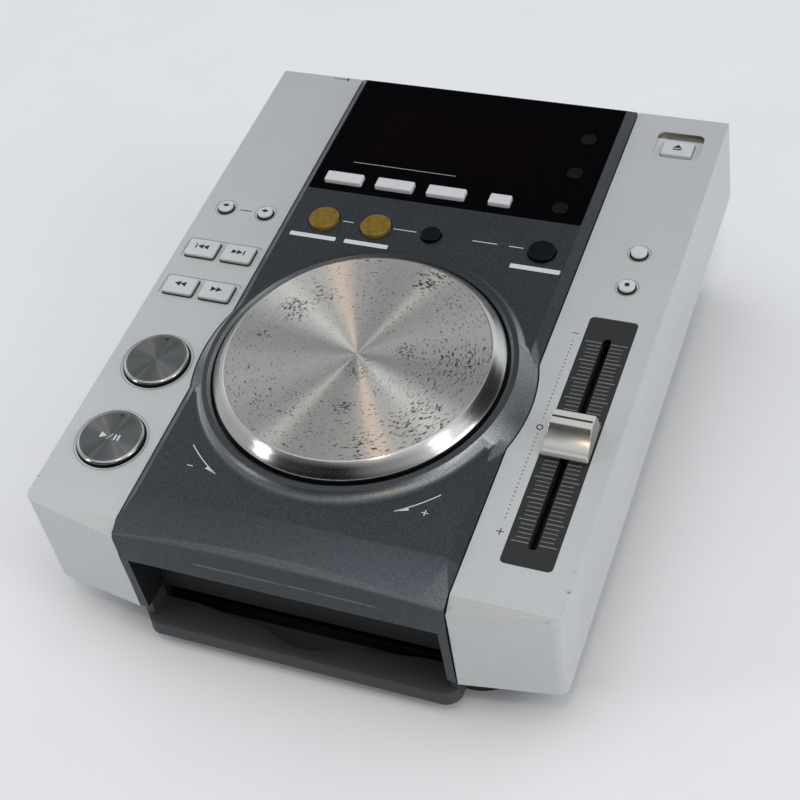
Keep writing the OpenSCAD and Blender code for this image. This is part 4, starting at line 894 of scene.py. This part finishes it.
def round_key(node, finish, round_top, n=64, dish=0.0, shaded_sides=False):
    """A round press button, with painted shade on its side and foot if wanted."""
    low, high = deck_box(node)
    u, v = middle(node)
    flange_d, _, under, width, _ = foot_outline(node)
    r, top = width / 2, high.z
    face_r = r - round_top
    profile = [(face_r * t, top - dish * (1 - t * t), 0) for t in (0, 0.3, 0.6, 0.85, 1)]
    for inset, drop in reversed(quarter(round_top)[:-1]):
        profile.append((r - inset, top - drop, 0))
    # Painted shade: a darker side, and a dark band at the foot with some dirt
    if shaded_sides:
        profile.append((r, 0.3, 1))
    profile += round_foot(r, under, flange_d, low.z, 2 if shaded_sides else 0)
    bm = bmesh.new()
    lathe(bm, u, v, profile, n)
    piece = key_piece(node, bm, [finish, "key_side", "key_grime"] if shaded_sides else [finish], 50)
    move_origin(piece, u, v)


def cue_key(node):
    """Turned dark face with a bright narrow chamfer over a black skirt."""
    low, high = deck_box(node)
    u, v = middle(node)
    flange_d, _, under, width, _ = foot_outline(node)
    r, top = width / 2, high.z
    profile = [(0, top - 0.12, 0), (4, top - 0.11, 0), (8, top - 0.07, 0), (r - 1.6, top, 0)]
    profile += [(r - 1.25, top, 1), (r - 0.75, top - 0.16, 1), (r - 0.35, top - 0.48, 1)]
    profile += [(r - 0.2, top - 0.75, 1), (r - 0.2, top - 0.85, 2), (r, top - 0.95, 2)]
    profile += round_foot(r, under, flange_d, low.z, 2)
    bm = bmesh.new()
    lathe(bm, u, v, profile, 96)
    piece = key_piece(node, bm, ["dark_spun_metal", "dark_rim_metal", "key_black"], 50)
    move_origin(piece, u, v)
    # Dark locating dot near the rear edge of the face
    print_piece(f"{node}_dot", "ink_black", f"{node}_body", [circle(u, v + r - 3.0, 0.75, 16)], top - 0.02)


ROUND_KEYS = ("cue_button", "play_button")
SMALL_BUTTONS = ("folder_back_button", "folder_forward_button", "tempo_range_button", "master_tempo_button")


def keys():
    for node in ROUND_KEYS:
        cue_key(node)
    for node in ("track_back_key", "track_forward_key", "search_back_key", "search_forward_key"):
        box_key(node, "key_silver", shaded_sides=True)
    box_key("eject_key", "key_silver", 0.5)
    for node in ("effect_key_left", "effect_key_middle", "effect_key_right", "hold_key"):
        box_key(node, "key_white", 0.8, 0.7, crown=0.12)
    for node in SMALL_BUTTONS:
        round_key(node, "key_silver", 0.6, shaded_sides=True)
    for node in ("loop_in_button", "loop_out_button"):
        round_key(node, "key_amber", 0.8, dish=0.15)
    for node in ("reloop_button", "beat_loop_button"):
        round_key(node, "key_black", 0.7, dish=0.25)
    for node in ("text_mode_button", "time_mode_button", "auto_cue_button"):
        round_key(node, "key_black", 0.3, 48, dish=0.2)


# ---------------- the pitch fader's cap

CAP_LIP = 3.5  # height of the ramp's front edge
CAP_DRAFT = 1.1  # how much narrower each side is at the top
RAMP_STEPS = 14
POINTER_HALF, POINTER_WIDTH = 7.9, 0.95


def fader_cap():
    """Satin cap: a hollowed finger ramp, a flat ridge and a steep rear."""
    low, high = deck_box("fader_cap")
    u = (low.x + high.x) / 2
    half = (high.x - low.x) / 2
    foot, top = low.z, high.z
    front, rear = low.y, high.y
    ridge_front, ridge_rear = rear - 8.2, rear - 1.6
    side = [(rear, foot), (front, foot), (front, CAP_LIP - 0.5)]
    side += [(front + 0.15, CAP_LIP - 0.15), (front + 0.5, CAP_LIP)]
    for i in range(1, RAMP_STEPS):
        t = i / RAMP_STEPS
        ramp_w = CAP_LIP + 0.1 + (top - CAP_LIP - 0.1) * t * t
        side.append((front + 0.7 + t * (ridge_front - front - 0.7), ramp_w))
    side += [(ridge_front - 0.12, top - 0.22), (ridge_front + 0.15, top - 0.03), (ridge_front + 0.5, top)]
    side += [(ridge_rear - 0.5, top), (ridge_rear - 0.15, top - 0.1), (ridge_rear + 0.1, top - 0.45)]
    side.append((rear - 0.3, foot + 3))
    middle_v, middle_w = sum(v for v, _ in side) / len(side), foot + 3.0

    def section(hand, inset, shrink):
        """The side's outline at one end of the cap, moved in by inset and drawn together by shrink."""
        points = []
        for v, w in side:
            wide = half - CAP_DRAFT / (top - foot) * (w - foot) - inset
            scale = 1 - shrink / max(1.0, hypot(v - middle_v, w - middle_w))
            inner_w = max(foot, middle_w + (w - middle_w) * scale)
            points.append((u + hand * wide, middle_v + (v - middle_v) * scale, inner_w))
        return points

    ends = ((0.0, 0.45), (0.12, 0.13), (0.45, 0.0))
    rows = [section(-1, *end) for end in ends] + [section(1, *end) for end in reversed(ends)]
    bm = bmesh.new()
    loops = [ring(bm, row) for row in rows]
    flat(bm, loops[0])
    for a, b in zip(loops, loops[1:]):
        bridge(bm, a, b)
    flat(bm, loops[-1])
    for face in bm.faces:
        place = face.calc_center_median()
        on_ramp = front + 0.4 < place.y < ridge_front - 0.1 and place.z > CAP_LIP - 0.2
        face.material_index = 1 if on_ramp and abs(face.normal.x) < 0.5 else 0
    finishes = ["cap_pale", "cap_silver"]
    finish_piece("fader_cap_shell", bm, finishes, "pitch_slider", "fader_cap", smooth=48)
    pointer_v = rear - 5.05
    pointer = bar(u - POINTER_HALF, pointer_v, u + POINTER_HALF, pointer_v, POINTER_WIDTH)
    print_piece("fader_pointer", "ink_black", "pitch_slider", [pointer], top)


# ---------------- the disc shelf

SHELF_THICK = 7.0
SHELF_CORNER = 6.5
SHELF_STRIPS = 96
FLOOR_THICK = 1.6  # of the pocket behind the shelf's floor
MOUTH_W = 127.7


def shelf_rear(u):
    """Rear end of the shelf's floor, in base millimetres: it swings forward into the finger scoop."""
    deep_y, shoulder_y, end_y = 2.1, 8.6, 11.6
    a = abs(u)
    if a < 30:
        t = min(1.0, max(0.0, (a - 2) / 21))
        s = t * t * (3 - 2 * t)
        return deep_y + (shoulder_y - deep_y) * s + 0.06 * max(0.0, a - 23)
    t = min(1.0, (a - 30) / 22)
    start = shoulder_y + 0.42
    return start + (end_y - start) * t * t * (3 - 2 * t)


def disc_shelf():
    node = "disc_shelf"
    lo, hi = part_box(node)
    y0, y1 = (lo.y - FRONT_EDGE.y) / MM, (hi.y - FRONT_EDGE.y) / MM
    half = hi.x / MM
    bottom, rim = lo.z / MM, hi.z / MM
    top, pocket = bottom + SHELF_THICK, bottom + FLOOR_THICK
    bm = bmesh.new()
    rows = []
    for i in range(SHELF_STRIPS + 1):
        u = -half * cos(pi * i / SHELF_STRIPS)
        a = abs(u) - (half - SHELF_CORNER)
        front = y0 if a <= 0 else y0 + SHELF_CORNER - sqrt(max(0.0, SHELF_CORNER * SHELF_CORNER - a * a))
        rear = max(shelf_rear(u), front + 1.5)
        wall = min(rear + 0.9, y1 - 0.3)
        section = [(y1, bottom), (front + 0.3, bottom), (front, bottom + 0.3)]
        section += [(front, top - 0.5), (front + 0.15, top - 0.15), (front + 0.5, top)]
        section += [(rear - 0.5, top), (rear - 0.15, top - 0.12), (rear + 0.08, top - 0.45)]
        section += [(wall, pocket + 0.4), (wall + 0.2, pocket), (y1, pocket)]
        rows.append(ring(bm, [base_point(u, y, z) for y, z in section]))
    for a, b in zip(rows, rows[1:]):
        bridge(bm, a, b)
    flat(bm, rows[0])
    flat(bm, rows[-1])
    bmesh.ops.remove_doubles(bm, verts=bm.verts, dist=WELD)
    # Rims beside the shelf, as far in as the mouth
    outline = [(y0 + 4.0, top - 1), (y1, top - 1), (y1, rim), (y0 + 4.6, rim), (y0 + 4.0, rim - 0.6)]
    for side in (-1, 1):
        a, b = (ring(bm, [base_point(side * u, y, z) for y, z in outline]) for u in (half, MOUTH_W / 2))
        bridge(bm, a, b)
        flat(bm, a)
        flat(bm, b)
    finish_piece("disc_shelf_shell", bm, ["shelf_plastic"], "case", node, smooth=40, level=True)


# ---------------- prints and painted shade lines

ARROW_GAP = 0.94  # distance of two arrow heads, as a share of their size


def arrow_pair(u, v, size, turn):
    du, dv = around(size * ARROW_GAP / 2, turn)
    return [triangle(u - du, v - dv, size, turn), triangle(u + du, v + dv, size, turn)]


def minus(u, v, reach, width):
    return bar(u - reach, v, u + reach, v, width)


def plus(u, v, reach, width=0.4):
    return [minus(u, v, reach, width), bar(u, v - reach, u, v + reach, width)]


def sign(name, node, shapes, finish="ink_black", sunk=0.0):
    """Ink on a key's top, riding on the key."""
    print_piece(name, finish, f"{node}_body", shapes, deck_box(node)[1].z - sunk)


def key_signs():
    for node, turn, side in (("track_back_key", 180, -1), ("track_forward_key", 0, 1)):
        u, v = middle(node)
        stop_u = u + side * 2.9
        stop = bar(stop_u, v - 1.0, stop_u, v + 1.8, 0.6)
        sign(f"{node[:-4]}_symbol", node, [*arrow_pair(u - side * 0.4, v + 0.4, 2.7, turn), stop])
    for node, turn in (("search_back_key", 180), ("search_forward_key", 0)):
        u, v = middle(node)
        sign(f"{node[:-4]}_symbol", node, arrow_pair(u, v + 0.4, 2.8, turn))
    for node, turn, side in (("folder_back_button", 180, -1), ("folder_forward_button", 0, 1)):
        u, v = middle(node)
        shaft = bar(u - side * 1.7, v + 0.4, u + side * 0.1, v + 0.4, 0.9)
        sign(f"{node[:-7]}_symbol", node, [triangle(u + side * 0.6, v + 0.4, 2.3, turn), shaft])
    u, v = middle("eject_key")
    arrow = [(u - 2.1, v + 0.1), (u + 2.1, v + 0.1), (u, v + 2.3)]
    sign("eject_symbol", "eject_key", [arrow, minus(u, v - 0.85, 2.0, 0.75)])
    u, v = middle("master_tempo_button")
    sign("master_tempo_dot", "master_tempo_button", [circle(u, v + 0.3, 1.1, 24)])
    u, v = middle("play_button")
    shapes = [triangle(u - 2.9, v, 3.0, 0), bar(u - 0.9, v - 1.5, u + 0.9, v + 1.5, 0.35)]
    shapes += [bar(u + d, v - 1.4, u + d, v + 1.4, 0.8) for d in (2.3, 3.9)]
    sign("play_symbol", "play_button", shapes, "ink_white", 0.05)


# On the centre panel
# label fields: left, right, front, rear
LABELS = ((-60, -38.3, 158, 160.4), (-34.3, -14, 158, 160.4), (40.8, 62.6, 158.6, 161.1))
# lines between the buttons: left and right end
LINKS = ((-39.3, -34), (-15.4, -4.8), (20.8, 31.8), (37.1, 43.6))
LINK_V = 170.7
LAMP_U = 34.2
# curved arrows round the wheel: start and tip in degrees, and way round
MARKS = ((-134.9, -120.3, 1), (-44.6, -59.1, -1))
MARK_R = 72.8
MARK_HEAD, MARK_HALF, MARK_BEND = 5.2, 1.35, 1.2  # the head's length, half width and turn in degrees


def panel_prints():
    level = deck_box("display_window")[1].z
    shapes = [rounded((a + b) / 2, (c + d) / 2, b - a, d - c, 0.5, 3) for a, b, c, d in LABELS]
    shapes += [bar(left, LINK_V, right, LINK_V, 0.4) for left, right in LINKS]
    for start, end, way in MARKS:
        shapes += arc_band(0, JOG_V, MARK_R, 0.42, start, end)
        before = end - way * MARK_BEND
        tip, back = around(MARK_R, end), around(MARK_HEAD, before + 90 * way + 180)
        out = around(MARK_HALF, before)
        u, v = tip[0] + back[0], JOG_V + tip[1] + back[1]
        shapes.append([(tip[0], JOG_V + tip[1]), (u + out[0], v + out[1]), (u, v)])
    shapes += [minus(-48.4, 28.6, 1.2, 0.4), *plus(48.7, 29.5, 1.3)]
    print_piece("panel_prints", "ink_white", "case", shapes, level)
    lamp = circle(LAMP_U, middle("loop_in_button")[1], 1.3, 24)
    print_piece("loop_lamp", "lamp_lens", "case", [lamp], level)
    # Thin line on the window, over the effect keys
    print_piece("window_prints", "ink_pale", "case", [bar(-48.6, 208.5, 0.4, 208.3, 0.35)], level)


# The tempo scale on the right cover
SCALE_U = 77.1
SCALE_START, SCALE_STEP, SCALE_DOTS = 37.2, 2.05, 45
SCALE_ZERO, ZERO_CLEAR = 81.4, 3.2


def cover_prints():
    dots = (SCALE_START + SCALE_STEP * i for i in range(SCALE_DOTS))
    shapes = [circle(SCALE_U, v, 0.30, 8) for v in dots if abs(v - SCALE_ZERO) > ZERO_CLEAR]
    shapes += arc_band(SCALE_U, SCALE_ZERO, 1.15, 0.5, 0, 360, 28)
    shapes += [minus(SCALE_U, 131.8, 1.3, 0.35), *plus(SCALE_U, 30.8, 1.5)]
    shapes.append(bar(-75.2, 267.2, -75.2, 269.1, 0.9))
    print_piece("scale_prints", "ink_black", "case", shapes, 0)
    between = (middle("folder_back_button")[0] + middle("folder_forward_button")[0]) / 2
    shapes = [minus(between, 171.5, 2.9, 0.55), bar(-82.6, 268.1, -75.8, 268.1, 0.4)]
    print_piece("cover_lines", "ink_line", "case", shapes, 0)


# The painted shade line round a pair of keys, on the rear and left walls of their recess: its reach from their
# middles, and its line and corners
BRACKET_U, BRACKET_REAR, BRACKET_FRONT = 8.9, 6.55, -4.8
BRACKET_LINE, BRACKET_CORNER = 0.28, 1.4


def painted_shade_lines():
    """Painted shade: dark lines for the shaded fine recesses round the key pairs and the round buttons."""
    lines = []
    for pair in ("track", "search"):
        (back_u, v), (forward_u, _) = middle(f"{pair}_back_key"), middle(f"{pair}_forward_key")
        left, right = back_u - BRACKET_U, forward_u + BRACKET_U
        rear = v + BRACKET_REAR
        lines.append(bar(left + BRACKET_CORNER, rear, right - BRACKET_CORNER, rear, BRACKET_LINE))
        for corner_u, turn in ((right - BRACKET_CORNER, 0), (left + BRACKET_CORNER, 90)):
            corner_v = rear - BRACKET_CORNER
            lines += arc_band(corner_u, corner_v, BRACKET_CORNER, BRACKET_LINE, turn, turn + 90, 6)
        lines.append(bar(left, v + BRACKET_FRONT, left, rear - 1.35, BRACKET_LINE))
    # Painted shade lines round the holes of the round keys and the small buttons
    for nodes, gap in ((ROUND_KEYS, 1.35), (SMALL_BUTTONS, 1.5)):
        for node in nodes:
            lines += arc_band(*middle(node), foot_outline(node)[3] / 2 + gap, 0.2, 0, 360, 60)
    print_piece("cover_painted_shade_lines", "groove_shade", "case", lines, -0.01)


TICKS, LONG_TICK = 50, 5  # how many steps, and every which tick is long
TICK_FIRST, TICK_LAST = 28.4, 128.9
TICK_IN = 2.0  # where the ticks start beside the slot's middle


def fader_ticks():
    low, high = deck_box("fader_plate")
    mid = (low.x + high.x) / 2
    ticks = []
    for i in range(TICKS + 1):
        v = TICK_FIRST + (TICK_LAST - TICK_FIRST) * i / TICKS
        reach, width = (8.6, 0.38) if i % LONG_TICK == 0 else (7.3, 0.30)
        ticks += [bar(mid + side * TICK_IN, v, mid + side * reach, v, width) for side in (-1, 1)]
    print_piece("fader_ticks", "ink_grey", "case", ticks, high.z)


# ---------------- the rest of the CAD nodes, and the floor

FLOOR_HALF = 6  # m


def finish_nodes():
    """Procedural finish for every CAD node that is shown as it is."""
    for node, piece in NODES.items():
        slot = "slot_plastic" if node == "fader_body" else SLOT_OF.get(node, "plain_steel")
        piece.data.materials.clear()
        piece.data.materials.append(MATERIALS.get(slot, MATERIALS["plain_steel"]))
        if not piece.hide_render:
            piece.data.polygons.foreach_set("use_smooth", [True] * len(piece.data.polygons))
            piece.data.set_sharp_from_angle(angle=radians(32))


def add_floor():
    bm = bmesh.new()
    bmesh.ops.create_grid(bm, x_segments=1, y_segments=1, size=FLOOR_HALF)
    mesh = bpy.data.meshes.new("floor")
    bm.to_mesh(mesh)
    bm.free()
    mesh.materials.append(floor_paper())
    floor = put("floor", mesh)


bpy.context.scene.view_settings.view_transform = "Standard"
add_camera()
add_world()
add_lights()
add_floor()
dress_case()
jog_wheel()
keys()
fader_cap()
disc_shelf()
key_signs()
panel_prints()
cover_prints()
painted_shade_lines()
fader_ticks()
finish_nodes()
